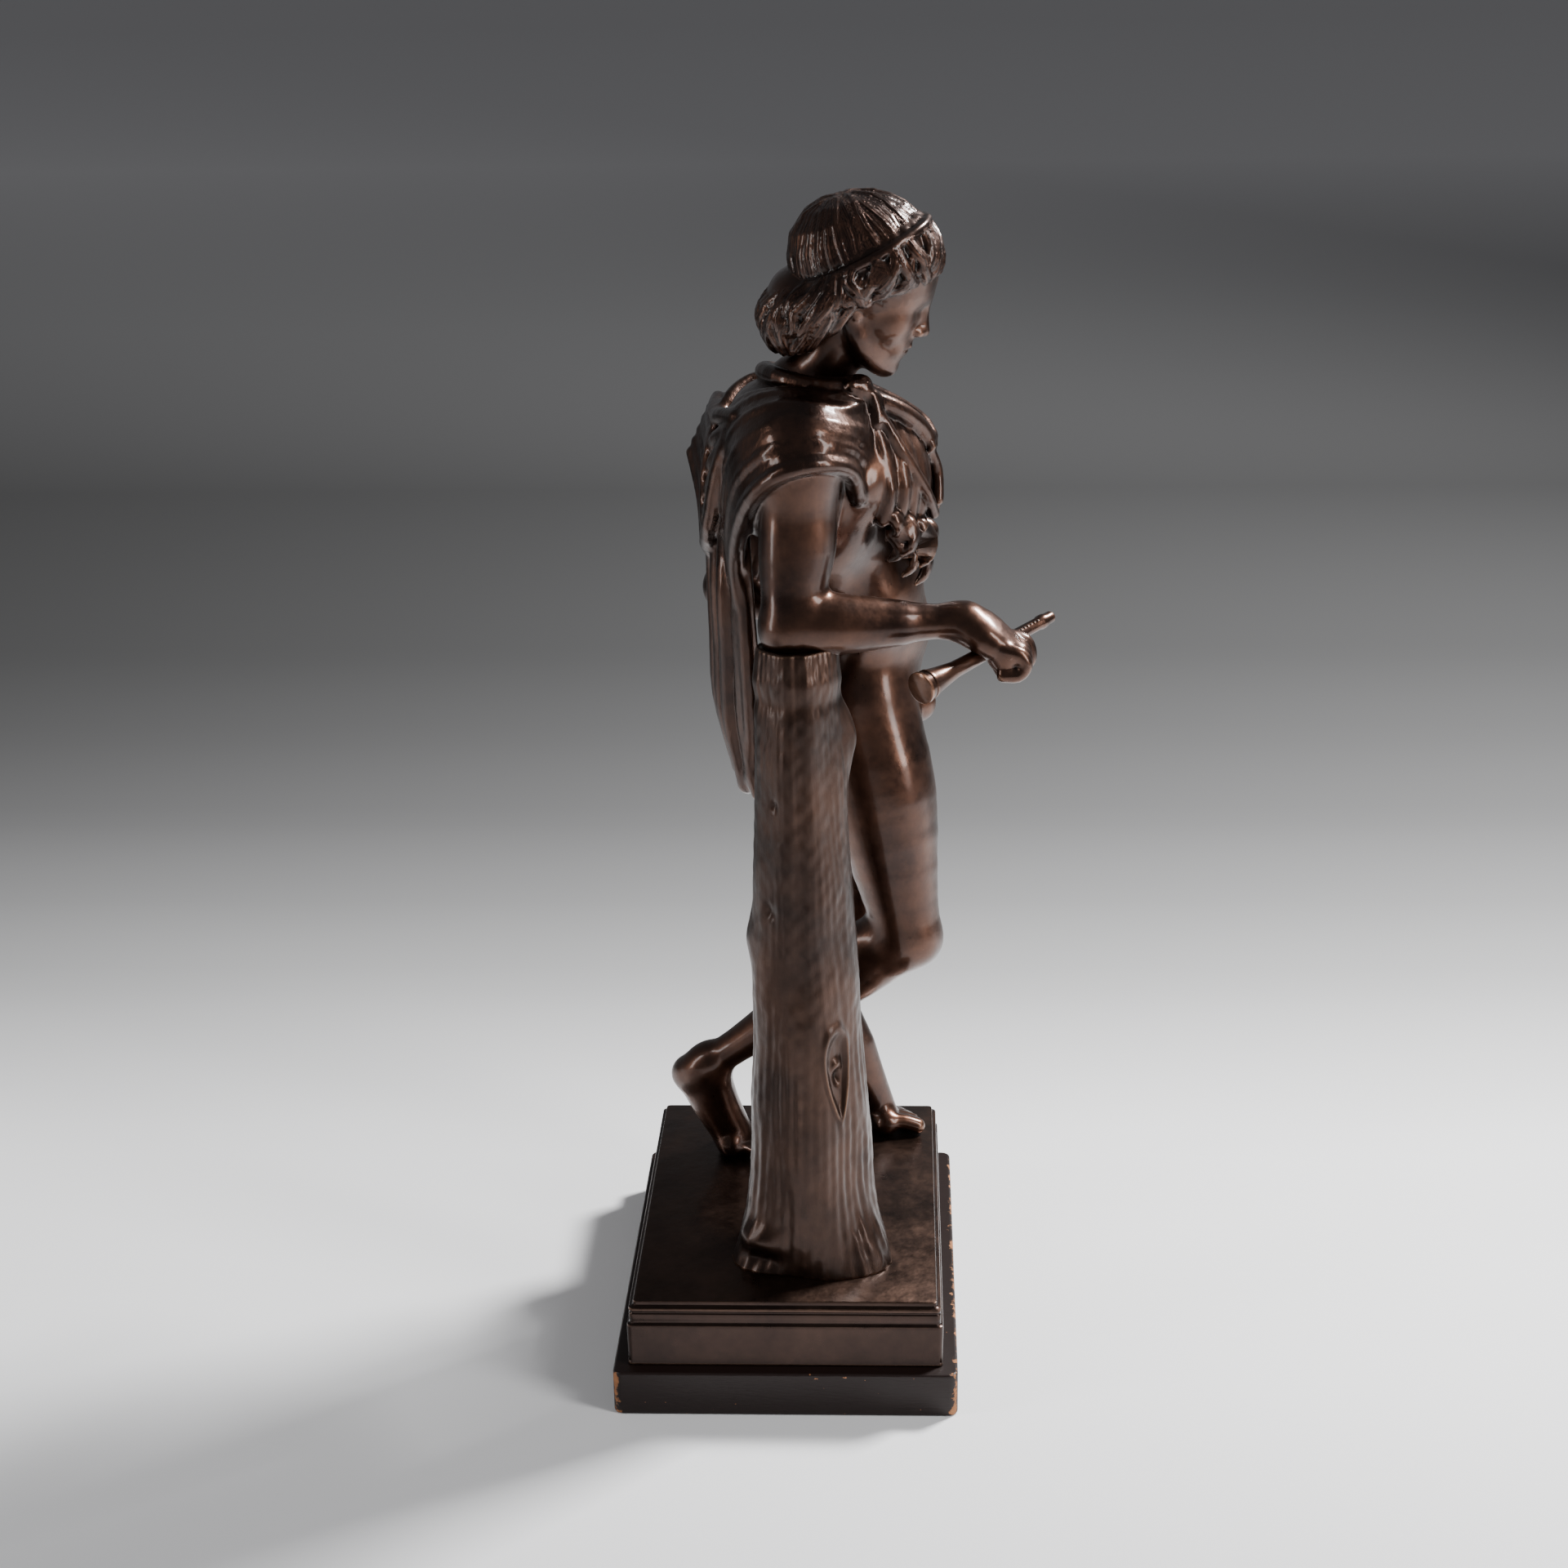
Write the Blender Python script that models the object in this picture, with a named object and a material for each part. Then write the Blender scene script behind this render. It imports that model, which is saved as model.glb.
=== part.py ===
import bpy
import bmesh
import numpy as np
from math import cos, pi, sin
from mathutils import Matrix, Vector

# A bronze youth in a skin cloak, leaning on a tree stump, a pipe in the right fist,
# on a moulded bronze base over a wooden plinth slab. Metres, +Z up, the origin at the
# centre of the slab's underside. The figure faces -Y and its left side is towards +X.

SLAB_THICKNESS = 0.0267
SLAB_CORNER = 0.0055
SLAB_EDGE = 0.0016
SLAB_MARGIN = 0.0081        # how far the slab stands out beyond the bronze base
FASCIA_HEIGHT = 0.0229
FASCIA_MARGIN = 0.00365     # how far the fascia stands out beyond the top plate
MOULDING_HEIGHT = 0.0160
PLATE_LENGTH = 0.2427       # along X
PLATE_WIDTH = 0.1700        # along Y
PLATE_CORNER = 0.0022
FIGURE_HEIGHT = 0.594       # from the top plate to the crown of the hair
STUMP_TOP_RADIUS = 0.0232
STUMP_FOOT_RADIUS = 0.0440
PIPE_LENGTH = 0.1080
PIPE_RADIUS = 0.0044
PIPE_BELL_RADIUS = 0.0088
PIPE_CLEARANCE = 0.0003     # between the pipe and the fist that holds it
GAP = 0.0003                # between pieces that rest on each other

BASE_BOTTOM = SLAB_THICKNESS + GAP
PLATE_TOP = BASE_BOTTOM + FASCIA_HEIGHT + MOULDING_HEIGHT
GROUND = PLATE_TOP + GAP
DRAWN = 0.594               # height at which the figure's points below are given
S = FIGURE_HEIGHT / DRAWN
HEAD = 0.086                # chin to crown, at the drawn height

# joints of the pose at that height, measured from the top plate
NECK = (0.004, -0.016, 0.4770)
SKULL = (-0.005, -0.034, 0.5200)
HEAD_AT = (-0.006, -0.0475, 0.5465)
SHOULDER_R = (-0.050, -0.0125, 0.4670)
ELBOW_R = (-0.060, -0.0085, 0.3745)
WRIST_R = (-0.052, -0.0985, 0.3740)
SHOULDER_L = (0.066, 0.008, 0.4570)
ELBOW_L = (0.122, 0.036, 0.3460)
WRIST_L = (0.108, -0.018, 0.3260)
CHEST = (0.008, -0.026, 0.4310)
WAIST = (0.032, -0.046, 0.3710)
PELVIS = (0.056, -0.043, 0.3210)
HIP_R = (0.030, -0.040, 0.3060)
KNEE_R = (0.012, -0.069, 0.1650)
ANKLE_R = (0.048, 0.0510, 0.0650)
HIP_L = (0.082, -0.040, 0.3160)
KNEE_L = (0.090, -0.044, 0.1560)
ANKLE_L = (0.089, -0.014, 0.088)


class Forms:
    """Rounded forms gathered in one mesh, each given in the frame set by place()."""

    def __init__(self):
        self.verts, self.faces = [], []
        self.balls = {}
        for fine in (2, 3):
            bm = bmesh.new()
            bmesh.ops.create_icosphere(bm, subdivisions=fine, radius=1.0)
            self.balls[fine] = ([v.co.copy() for v in bm.verts], [[v.index for v in f.verts] for f in bm.faces])
            bm.free()
        self.place((0, 0, 0), np.eye(3))

    def place(self, origin, axes, scale=1.0):
        turn = Matrix([list(map(float, row)) for row in axes]).transposed().to_4x4()
        self.frame = Matrix.Translation(origin) @ turn @ Matrix.Scale(scale, 4)
        self.scale = scale

    def ball(self, at, radii, turn):
        """A round or stretched ball: its points and faces."""
        points, faces = self.balls[3 if max(radii) * self.scale > 0.006 else 2]
        place = self.frame @ Matrix.Translation(Vector(at)) @ turn @ Matrix.Diagonal((*radii, 1.0))
        return [place @ p for p in points], faces

    def add(self, points, faces):
        first = len(self.verts)
        self.verts += points
        self.faces += [[first + i for i in face] for face in faces]

    def egg(self, at, radii, turn=None, soft=0.0, cut=False, tag=""):
        if not cut:
            self.add(*self.ball(at, radii, Matrix.Identity(4) if turn is None else rot(turn)))

    def path(self, points, radii, soft=0.0, normal=None, flat=1.0, tag=""):
        """A round or flattened bar through points: the hull of each pair of its balls."""
        radii = [float(r) for r in np.broadcast_to(np.array(radii, float), (len(points),))]
        turn = Matrix.Identity(4)
        if normal is not None:
            turn = Vector(normal).normalized().to_track_quat("Z", "X").to_matrix().to_4x4()
        for k in range(len(points) - 1):
            bm = bmesh.new()
            for p, r in ((points[k], radii[k]), (points[k + 1], radii[k + 1])):
                for corner in self.ball([float(v) for v in p], (r, r, r * flat), turn)[0]:
                    bm.verts.new(corner)
            bmesh.ops.convex_hull(bm, input=bm.verts[:], use_existing_faces=False)
            bmesh.ops.delete(bm, geom=[v for v in bm.verts if not v.link_faces], context="VERTS")
            bm.verts.index_update()
            self.add([v.co.copy() for v in bm.verts], [[v.index for v in f.verts] for f in bm.faces])
            bm.free()

    def to_bmesh(self, matrix):
        mesh = bpy.data.meshes.new("forms")
        mesh.from_pydata(self.verts, [], self.faces)
        bm = bmesh.new()
        bm.from_mesh(mesh)
        bpy.data.meshes.remove(mesh)
        bmesh.ops.transform(bm, matrix=matrix, verts=bm.verts)
        return bm


def rot(turn):
    """Turned by these degrees about x, then y, then z."""
    a, b, c = np.radians(turn)
    return Matrix.Rotation(c, 4, "Z") @ Matrix.Rotation(b, 4, "Y") @ Matrix.Rotation(a, 4, "X")


def material(name, colour, metallic, roughness):
    mat = bpy.data.materials.new(name)
    mat.use_nodes = True
    bsdf = mat.node_tree.nodes["Principled BSDF"]
    bsdf.inputs["Base Color"].default_value = (*colour, 1.0)
    bsdf.inputs["Metallic"].default_value = metallic
    bsdf.inputs["Roughness"].default_value = roughness
    mat.diffuse_color = (*colour, 1.0)
    return mat


def new_object(name, bm, mat=None, smooth=35):
    mesh = bpy.data.meshes.new(name)
    bm.to_mesh(mesh)
    bm.free()
    mesh.shade_smooth()
    mesh.set_sharp_from_angle(angle=smooth * pi / 180)
    obj = bpy.data.objects.new(name, mesh)
    bpy.context.scene.collection.objects.link(obj)
    if mat is not None:
        mesh.materials.append(mat)
    return obj


def rings_to_mesh(rings):
    """A closed skin over rings of points, bottom to top, counter-clockwise from above."""
    bm = bmesh.new()
    rows = [[bm.verts.new(p) for p in ring] for ring in rings]
    n = len(rows[0])
    for low, high in zip(rows[:-1], rows[1:]):
        for i in range(n):
            bm.faces.new((low[i], low[(i + 1) % n], high[(i + 1) % n], high[i]))
    bm.faces.new(rows[0][::-1])
    bm.faces.new(rows[-1])
    bmesh.ops.triangulate(bm, faces=[f for f in bm.faces if len(f.verts) > 4])
    return bm


def rounded_ring(half_x, half_y, radius, z, steps=4):
    """A rectangle with round corners, counter-clockwise."""
    ring = []
    for k, (sx, sy) in enumerate(((1, 1), (-1, 1), (-1, -1), (1, -1))):
        for i in range(steps + 1):
            a = (k + i / steps) * pi / 2
            ring.append((sx * (half_x - radius) + radius * cos(a), sy * (half_y - radius) + radius * sin(a), z))
    return ring


def plinth_slab(mat):
    half_x = PLATE_LENGTH / 2 + FASCIA_MARGIN + SLAB_MARGIN
    half_y = PLATE_WIDTH / 2 + FASCIA_MARGIN + SLAB_MARGIN
    rings = []
    for i in range(4):
        a = i / 3 * pi / 2
        inset, z = SLAB_EDGE * (1 - sin(a)), SLAB_EDGE * (1 - cos(a))
        rings.append(rounded_ring(half_x - inset, half_y - inset, SLAB_CORNER - inset, z))
    rings += [[(x, y, SLAB_THICKNESS - z) for x, y, z in ring] for ring in rings[::-1]]
    return new_object("plinth_slab", rings_to_mesh(rings), mat)


def moulded_base(mat):
    # (margin beyond the plate, height above the fascia) as shares of their full size
    profile = [(1.0, 0.0), (0.92, 0.16), (0.62, 0.20), (0.55, 0.28), (0.62, 0.36), (0.62, 0.56),
               (0.52, 0.62), (0.62, 0.68), (0.60, 0.78), (0.30, 0.82), (0.0, 0.86), (0.0, 0.97), (-0.12, 1.0)]
    rings = []
    for margin, z in ((0.80, 0.0), (1.0, 0.0006), (1.0, 0.06 * FASCIA_HEIGHT), (0.9, 0.1 * FASCIA_HEIGHT)):
        rings.append(base_ring(margin, BASE_BOTTOM + z))
    for margin, z in profile:
        rings.append(base_ring(margin, BASE_BOTTOM + FASCIA_HEIGHT + z * MOULDING_HEIGHT))
    return new_object("moulded_base", rings_to_mesh(rings), mat)


def base_ring(margin, z):
    out = margin * FASCIA_MARGIN
    return rounded_ring(PLATE_LENGTH / 2 + out, PLATE_WIDTH / 2 + out, PLATE_CORNER + max(0.0, out * 0.3), z, 3)


def stump_radius(angle, t):
    """Radius of the stump at a share t of its height: two lobes, burls and flared roots."""
    r = STUMP_TOP_RADIUS + (STUMP_FOOT_RADIUS * 0.86 - STUMP_TOP_RADIUS) * (1 - t) ** 1.25
    r *= 1 + 0.05 * cos(2 * angle + 0.9) + 0.035 * cos(5 * angle + 2.0 + 1.5 * t)
    flare = max(0.0, 1 - t / 0.16) ** 2
    r += STUMP_FOOT_RADIUS * flare * (0.10 + 0.13 * cos(3 * (angle - 4.05)))
    for a, level, wide, tall, size in KNOTS:
        d = (angle - a + pi) % (2 * pi) - pi
        r += STUMP_TOP_RADIUS * size * np.exp(-(d / wide) ** 2 - ((t - level) / tall) ** 2)
    return r


# burls, a branch stub and a cut knot: angle, level, width, height and how far they stand out
KNOTS = [(1.75, 0.335, 0.35, 0.035, 0.16), (4.45, 0.80, 0.28, 0.045, 0.22), (3.55, 0.24, 0.22, 0.030, -0.12),
         (3.5, 0.33, 0.35, 0.022, 0.14), (2.35, 0.07, 0.32, 0.022, 0.13), (2.6, 0.60, 0.40, 0.05, 0.06),
         (0.4, 0.5, 0.5, 0.06, 0.10), (5.6, 0.28, 0.4, 0.05, 0.12)]


def tree_stump(mat, top):
    rings = []
    around = 28
    levels = [0, 0.02, 0.045, 0.075, 0.11, 0.15, 0.20, 0.25, 0.30, 0.345, 0.39, 0.45, 0.52, 0.60,
              0.68, 0.74, 0.79, 0.84, 0.89, 0.94, 0.975, 0.993]
    for t in levels:
        z = GROUND + t * (top - GROUND)
        cx, cy = stump_axis(t)
        shrink = 1.0 - 0.05 * max(0.0, (t - 0.94) / 0.06) ** 2
        rings.append([(cx + stump_radius(a, t) * shrink * cos(a), cy + stump_radius(a, t) * shrink * sin(a), z)
                      for a in np.linspace(0, 2 * pi, around, endpoint=False)])
    # a rounded lip and a slightly hollow top
    for share, drop in ((0.88, 0.0), (0.74, 0.0), (0.66, 0.0022), (0.40, 0.0030)):
        cx, cy = stump_axis(1.0)
        rings.append([(cx + stump_radius(a, 1.0) * share * cos(a), cy + stump_radius(a, 1.0) * share * sin(a), top - drop)
                      for a in np.linspace(0, 2 * pi, around, endpoint=False)])
    return new_object("tree_stump", rings_to_mesh(rings), mat, 50)


def stump_axis(t):
    x, y, _ = ELBOW_R
    return S * (x + 0.002), S * (y - 0.002 - 0.004 * (1 - t))


def pipe_frame():
    """The pipe's axis runs from the bell, up and away through the fist, to the mouthpiece."""
    axis = Vector(PIPE_AXIS).normalized()
    start = Vector((0, 0, GROUND)) + S * Vector(PIPE_GRIP) - axis * (0.47 * PIPE_LENGTH)
    return Matrix.Translation(start) @ axis.to_track_quat("Z", "X").to_matrix().to_4x4()


def pipe_body(name, profile, mat=None, around=16):
    frame = pipe_frame()
    rings = []
    for along, radius in profile:
        rings.append([frame @ Vector((radius * cos(a), radius * sin(a), along))
                      for a in np.linspace(0, 2 * pi, around, endpoint=False)])
    return new_object(name, rings_to_mesh(rings), mat)


def pipe(mat):
    bell, body, length = PIPE_BELL_RADIUS, PIPE_RADIUS, PIPE_LENGTH
    profile = [(0.0, bell * 0.86), (0.006, bell), (0.020, bell), (0.026, bell * 0.90), (0.050, bell * 0.88), (0.056, bell * 0.93),
               (0.066, bell * 0.93), (0.080, bell * 0.86), (0.15, body + (bell - body) * 0.42), (0.25, body * 1.06), (0.34, body),
               (0.70, body * 0.86), (0.89, body * 0.80), (0.905, body * 0.92), (0.935, body * 0.92), (0.95, body * 0.80),
               (0.99, body * 0.76), (1.0, body * 0.60)]
    return pipe_body("pipe", [(share * length, radius) for share, radius in profile], mat)


def guide(obj):
    obj.hide_render = True
    obj.hide_set(True)
    obj.display_type = "WIRE"
    return obj


def youth_figure(mat, stump_top):
    forms = Forms()
    forms.place((0, 0, 0), np.eye(3))
    for build in (torso, right_leg, left_leg, right_arm, left_arm, right_hand, cloak, head, hair):
        build(forms)
    figure = new_object("youth_figure", forms.to_bmesh(Matrix.Translation((0, 0, GROUND)) @ Matrix.Scale(S, 4)))
    remesh = figure.modifiers.new("one_skin", "REMESH")
    remesh.mode = "VOXEL"
    remesh.voxel_size = 0.00165 * S
    remesh.use_smooth_shade = True
    soften = figure.modifiers.new("soften", "SMOOTH")
    soften.factor = 0.5
    soften.iterations = 3
    bpy.context.view_layer.update()
    count = sum(len(p.vertices) - 2 for p in figure.evaluated_get(bpy.context.evaluated_depsgraph_get()).data.polygons)
    fewer = figure.modifiers.new("fewer_faces", "DECIMATE")
    fewer.ratio = min(1.0, FIGURE_FACES / count)
    # clearances for the plate, the stump's top and the pipe
    under = box("under_feet", (0, 0, GROUND - 0.05), (0.3, 0.3, 0.10))
    rest = box("on_stump", (*stump_axis(1.0), stump_top - 0.02 + GAP), (0.075, 0.058, 0.04))
    bore = pipe_body("pipe_bore", [(-0.02, PIPE_BELL_RADIUS + 0.001), (0.20 * PIPE_LENGTH, PIPE_BELL_RADIUS * 0.8 + PIPE_CLEARANCE),
                                   (0.27 * PIPE_LENGTH, PIPE_RADIUS * 1.06 + PIPE_CLEARANCE), (0.36 * PIPE_LENGTH, PIPE_RADIUS + PIPE_CLEARANCE),
                                   (1.02 * PIPE_LENGTH, PIPE_RADIUS + PIPE_CLEARANCE)])
    for cutter in (under, rest, bore):
        cut = figure.modifiers.new(cutter.name, "BOOLEAN")
        cut.operation = "DIFFERENCE"
        cut.object = guide(cutter)
    figure.data.materials.append(mat)
    return figure


def box(name, centre, size):
    bm = bmesh.new()
    bmesh.ops.create_cube(bm, size=1.0, matrix=Matrix.Translation(centre) @ Matrix.Diagonal((*size, 1.0)))
    return new_object(name, bm)


FIGURE_FACES = 6900
PIPE_AXIS = (0.070, -0.065, 0.0145)
PIPE_GRIP = (-0.0535, -0.1095, 0.3560)


def lerp(a, b, t): return tuple(np.array(a) + (np.array(b) - np.array(a)) * t)
def off(p, dx=0, dy=0, dz=0): return (p[0] + dx, p[1] + dy, p[2] + dz)

def torso(c):
    c.place((0, 0, 0), np.eye(3))
    # rib cage, waist and pelvis
    c.egg(CHEST, (0.049, 0.036, 0.058), turn=(8, -6, 0), soft=0.01)
    c.egg(off(CHEST, 0.002, 0.004, 0.022), (0.055, 0.033, 0.032), turn=(0, -6, 0), soft=0.02)
    c.egg(WAIST, (0.042, 0.031, 0.045), turn=(0, 18, 0), soft=0.02)
    c.egg(PELVIS, (0.048, 0.033, 0.034), turn=(-8, 10, 0), soft=0.02)
    # abdomen and lower belly
    c.egg(off(WAIST, 0.004, -0.008, 0.004), (0.026, 0.020, 0.042), turn=(4, 18, 0), soft=0.012)
    c.egg(off(PELVIS, -0.008, -0.019, 0.022), (0.030, 0.020, 0.024), turn=(0, 12, 0), soft=0.012)
    # chest muscles
    for side in (-1, 1):
        c.egg(off(CHEST, side * 0.023, -0.026, 0.012), (0.026, 0.012, 0.022), turn=(14, -6, side * 14), soft=0.008)
        # shoulder blade and broad back
        c.egg(off(CHEST, side * 0.028, 0.020, 0.012), (0.022, 0.014, 0.032), soft=0.012)
        # buttock
    c.egg(off(HIP_R, 0.000, 0.022, -0.004), (0.026, 0.026, 0.030), soft=0.012)
    c.egg(off(HIP_L, -0.004, 0.024, -0.002), (0.027, 0.028, 0.032), soft=0.012)
    # trapezius and collar
    for s in (SHOULDER_R, SHOULDER_L):
        c.path([off(NECK, 0, 0.006, 0.012), lerp(NECK, s, 0.55), off(s, 0, 0.003, 0.006)], [0.014, 0.015, 0.013], soft=0.014)
    # neck
    c.path([off(NECK, 0, 0.004, -0.016), off(NECK, -0.001, -0.002, 0.01), SKULL, off(SKULL, 0, -0.002, 0.018)], [0.021, 0.0175, 0.0165, 0.018], soft=0.01)
    # genitals, simple
    c.egg((0.052, -0.078, 0.2940), (0.0075, 0.008, 0.010), soft=0.005)

def right_arm(c):
    s, e, w = SHOULDER_R, ELBOW_R, WRIST_R
    c.egg(off(s, -0.004, 0, -0.006), (0.020, 0.0225, 0.027), soft=0.012)
    c.path([s, lerp(s, e, 0.35), lerp(s, e, 0.7), e], [0.0200, 0.0190, 0.0168, 0.0150], soft=0.01)
    # biceps and triceps
    c.path([off(lerp(s, e, 0.25), 0, -0.007, 0), off(lerp(s, e, 0.55), 0, -0.007, 0), off(lerp(s, e, 0.85), 0, -0.003, 0)], [0.011, 0.0135, 0.009], soft=0.008)
    c.path([off(lerp(s, e, 0.3), 0, 0.006, 0), off(lerp(s, e, 0.6), 0, 0.006, 0), off(e, 0, 0.006, 0.006)], [0.011, 0.012, 0.008], soft=0.008)
    c.egg(off(e, 0, 0.006, -0.004), (0.0115, 0.0105, 0.0125), soft=0.006)
    c.path([e, lerp(e, w, 0.25), lerp(e, w, 0.55), lerp(e, w, 0.85), w], [0.0165, 0.0160, 0.0125, 0.0092, 0.0085], soft=0.008)
    c.path([off(lerp(e, w, 0.05), -0.003, 0, 0.003), off(lerp(e, w, 0.3), -0.004, 0, 0.001), off(lerp(e, w, 0.6), -0.003, 0, 0)], [0.010, 0.0125, 0.009], soft=0.008)

def left_arm(c):
    s, e, w = SHOULDER_L, ELBOW_L, WRIST_L
    c.egg(off(s, 0.004, 0.002, -0.006), (0.020, 0.0215, 0.026), soft=0.012)
    c.path([s, lerp(s, e, 0.35), lerp(s, e, 0.7), e], [0.0195, 0.0180, 0.0155, 0.0135], soft=0.01)
    c.path([lerp(s, e, 0.25), off(lerp(s, e, 0.55), 0.003, -0.006, 0), lerp(s, e, 0.85)], [0.013, 0.014, 0.009], soft=0.008)
    c.egg(off(e, 0.002, 0.005, -0.003), (0.011, 0.0105, 0.012), soft=0.006)
    c.path([e, lerp(e, w, 0.3), lerp(e, w, 0.7), w], [0.0135, 0.0140, 0.0105, 0.0088], soft=0.008)
    # the back of the hand on the hip
    c.egg(off(w, -0.009, -0.006, -0.012), (0.009, 0.015, 0.016), turn=(20, 20, 10), soft=0.006)
    for k in range(4):
        a = off(w, -0.010, -0.004 - 0.007 * k + 0.008, -0.020)
        c.path([a, off(a, -0.006, 0.004, -0.010), off(a, -0.010, 0.010, -0.012)], [0.0044, 0.0042, 0.0036], soft=0.002)

def right_leg(c):
    h, k, a = HIP_R, KNEE_R, ANKLE_R
    c.path([h, lerp(h, k, 0.35), lerp(h, k, 0.7), k], [0.034, 0.0305, 0.0235, 0.0180], soft=0.014)
    c.path([off(lerp(h, k, 0.05), -0.004, -0.008, 0), off(lerp(h, k, 0.4), -0.004, -0.008, 0), off(lerp(h, k, 0.85), -0.002, -0.004, 0)], [0.020, 0.025, 0.014], soft=0.012)
    # knee cap
    c.egg(off(k, 0, -0.0065, 0.000), (0.0125, 0.0115, 0.0145), turn=(-20, 0, 0), soft=0.006)
    c.path([k, lerp(k, a, 0.25), lerp(k, a, 0.55), lerp(k, a, 0.85), a], [0.0175, 0.0185, 0.0150, 0.0105, 0.0110], soft=0.01)
    c.path([off(lerp(k, a, 0.08), 0, 0.006, 0.007), off(lerp(k, a, 0.32), 0.0, 0.008, 0.009), off(lerp(k, a, 0.6), 0, 0.004, 0.004)], [0.012, 0.0155, 0.009], soft=0.008)
    right_foot(c)

def right_foot(c):
    a = ANKLE_R
    heel = off(a, 0.005, 0.0125, -0.009)
    ball = (0.0600, 0.0400, 0.0085)
    c.path([a, off(a, 0, 0.008, -0.004), heel], [0.011, 0.0110, 0.0100], soft=0.006)
    c.path([heel, lerp(heel, ball, 0.5), ball], [0.0100, 0.0105, 0.0095], soft=0.006)
    c.path([a, lerp(a, ball, 0.5), off(ball, 0, -0.004, 0.004)], [0.0110, 0.0112, 0.0095], soft=0.008)
    c.path([off(ball, -0.009, 0, -0.001), off(ball, 0.010, 0.001, -0.001)], [0.0075, 0.0075], soft=0.006)
    toe_fan(c, ball, (0.10, -1, 0), 0.021, left=False)

def left_leg(c):
    h, k, a = HIP_L, KNEE_L, ANKLE_L
    c.path([h, lerp(h, k, 0.35), lerp(h, k, 0.7), k], [0.035, 0.0305, 0.0240, 0.0185], soft=0.014)
    c.path([off(lerp(h, k, 0.05), 0, -0.010, 0), off(lerp(h, k, 0.4), 0.003, -0.007, 0), off(lerp(h, k, 0.85), 0, -0.003, 0)], [0.021, 0.024, 0.014], soft=0.012)
    c.egg(off(k, 0, -0.009, 0.002), (0.0125, 0.010, 0.0145), soft=0.006)
    c.path([k, lerp(k, a, 0.25), lerp(k, a, 0.55), lerp(k, a, 0.85), a], [0.0180, 0.0190, 0.0155, 0.0110, 0.0115], soft=0.01)
    c.path([off(lerp(k, a, 0.08), 0, 0.008, 0), off(lerp(k, a, 0.32), 0, 0.012, 0), off(lerp(k, a, 0.62), 0, 0.005, 0)], [0.012, 0.0155, 0.009], soft=0.008)
    left_foot(c)

def left_foot(c):
    a = ANKLE_L
    heel = off(a, 0, 0.012, -0.012)
    ball = (0.091, -0.0545, 0.0075)
    c.path([a, heel], [0.0115, 0.0100], soft=0.006)
    c.path([off(heel, 0, 0, 0), off(heel, 0.002, -0.03, 0.000), ball], [0.0100, 0.0095, 0.0075], soft=0.006)
    c.path([off(a, 0, -0.004, -0.002), lerp(a, ball, 0.5), ball], [0.0115, 0.0115, 0.0075], soft=0.008)
    c.path([off(ball, -0.0095, -0.002, 0), off(ball, 0.010, 0.006, -0.001)], [0.0075, 0.0070], soft=0.006)
    toe_fan(c, ball, (0.08, -1, 0), 0.021, left=True)

def toe_fan(c, ball, forward, length, left):
    f = np.array(forward, float); f /= np.linalg.norm(f)
    side = np.array([1, 0, 0]) if left else np.array([-1, 0, 0])
    # the big toe is on the inner side of each foot
    for i in range(5):
        across = (-0.0098, -0.0035, 0.0018, 0.0064, 0.0106)[i]
        size = (0.0052, 0.0040, 0.0038, 0.0035, 0.0032)[i]
        reach = (1.0, 0.98, 0.88, 0.76, 0.62)[i] * length
        root = np.array(ball) + side * across
        root[2] = size + 0.003
        tip = root + f * reach
        tip[2] = size * 0.95
        mid = root + f * reach * 0.55
        mid[2] = size + 0.0030
        c.path([root, mid, tip], [size, size * 0.92, size * 0.95], soft=0.0022)

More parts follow.
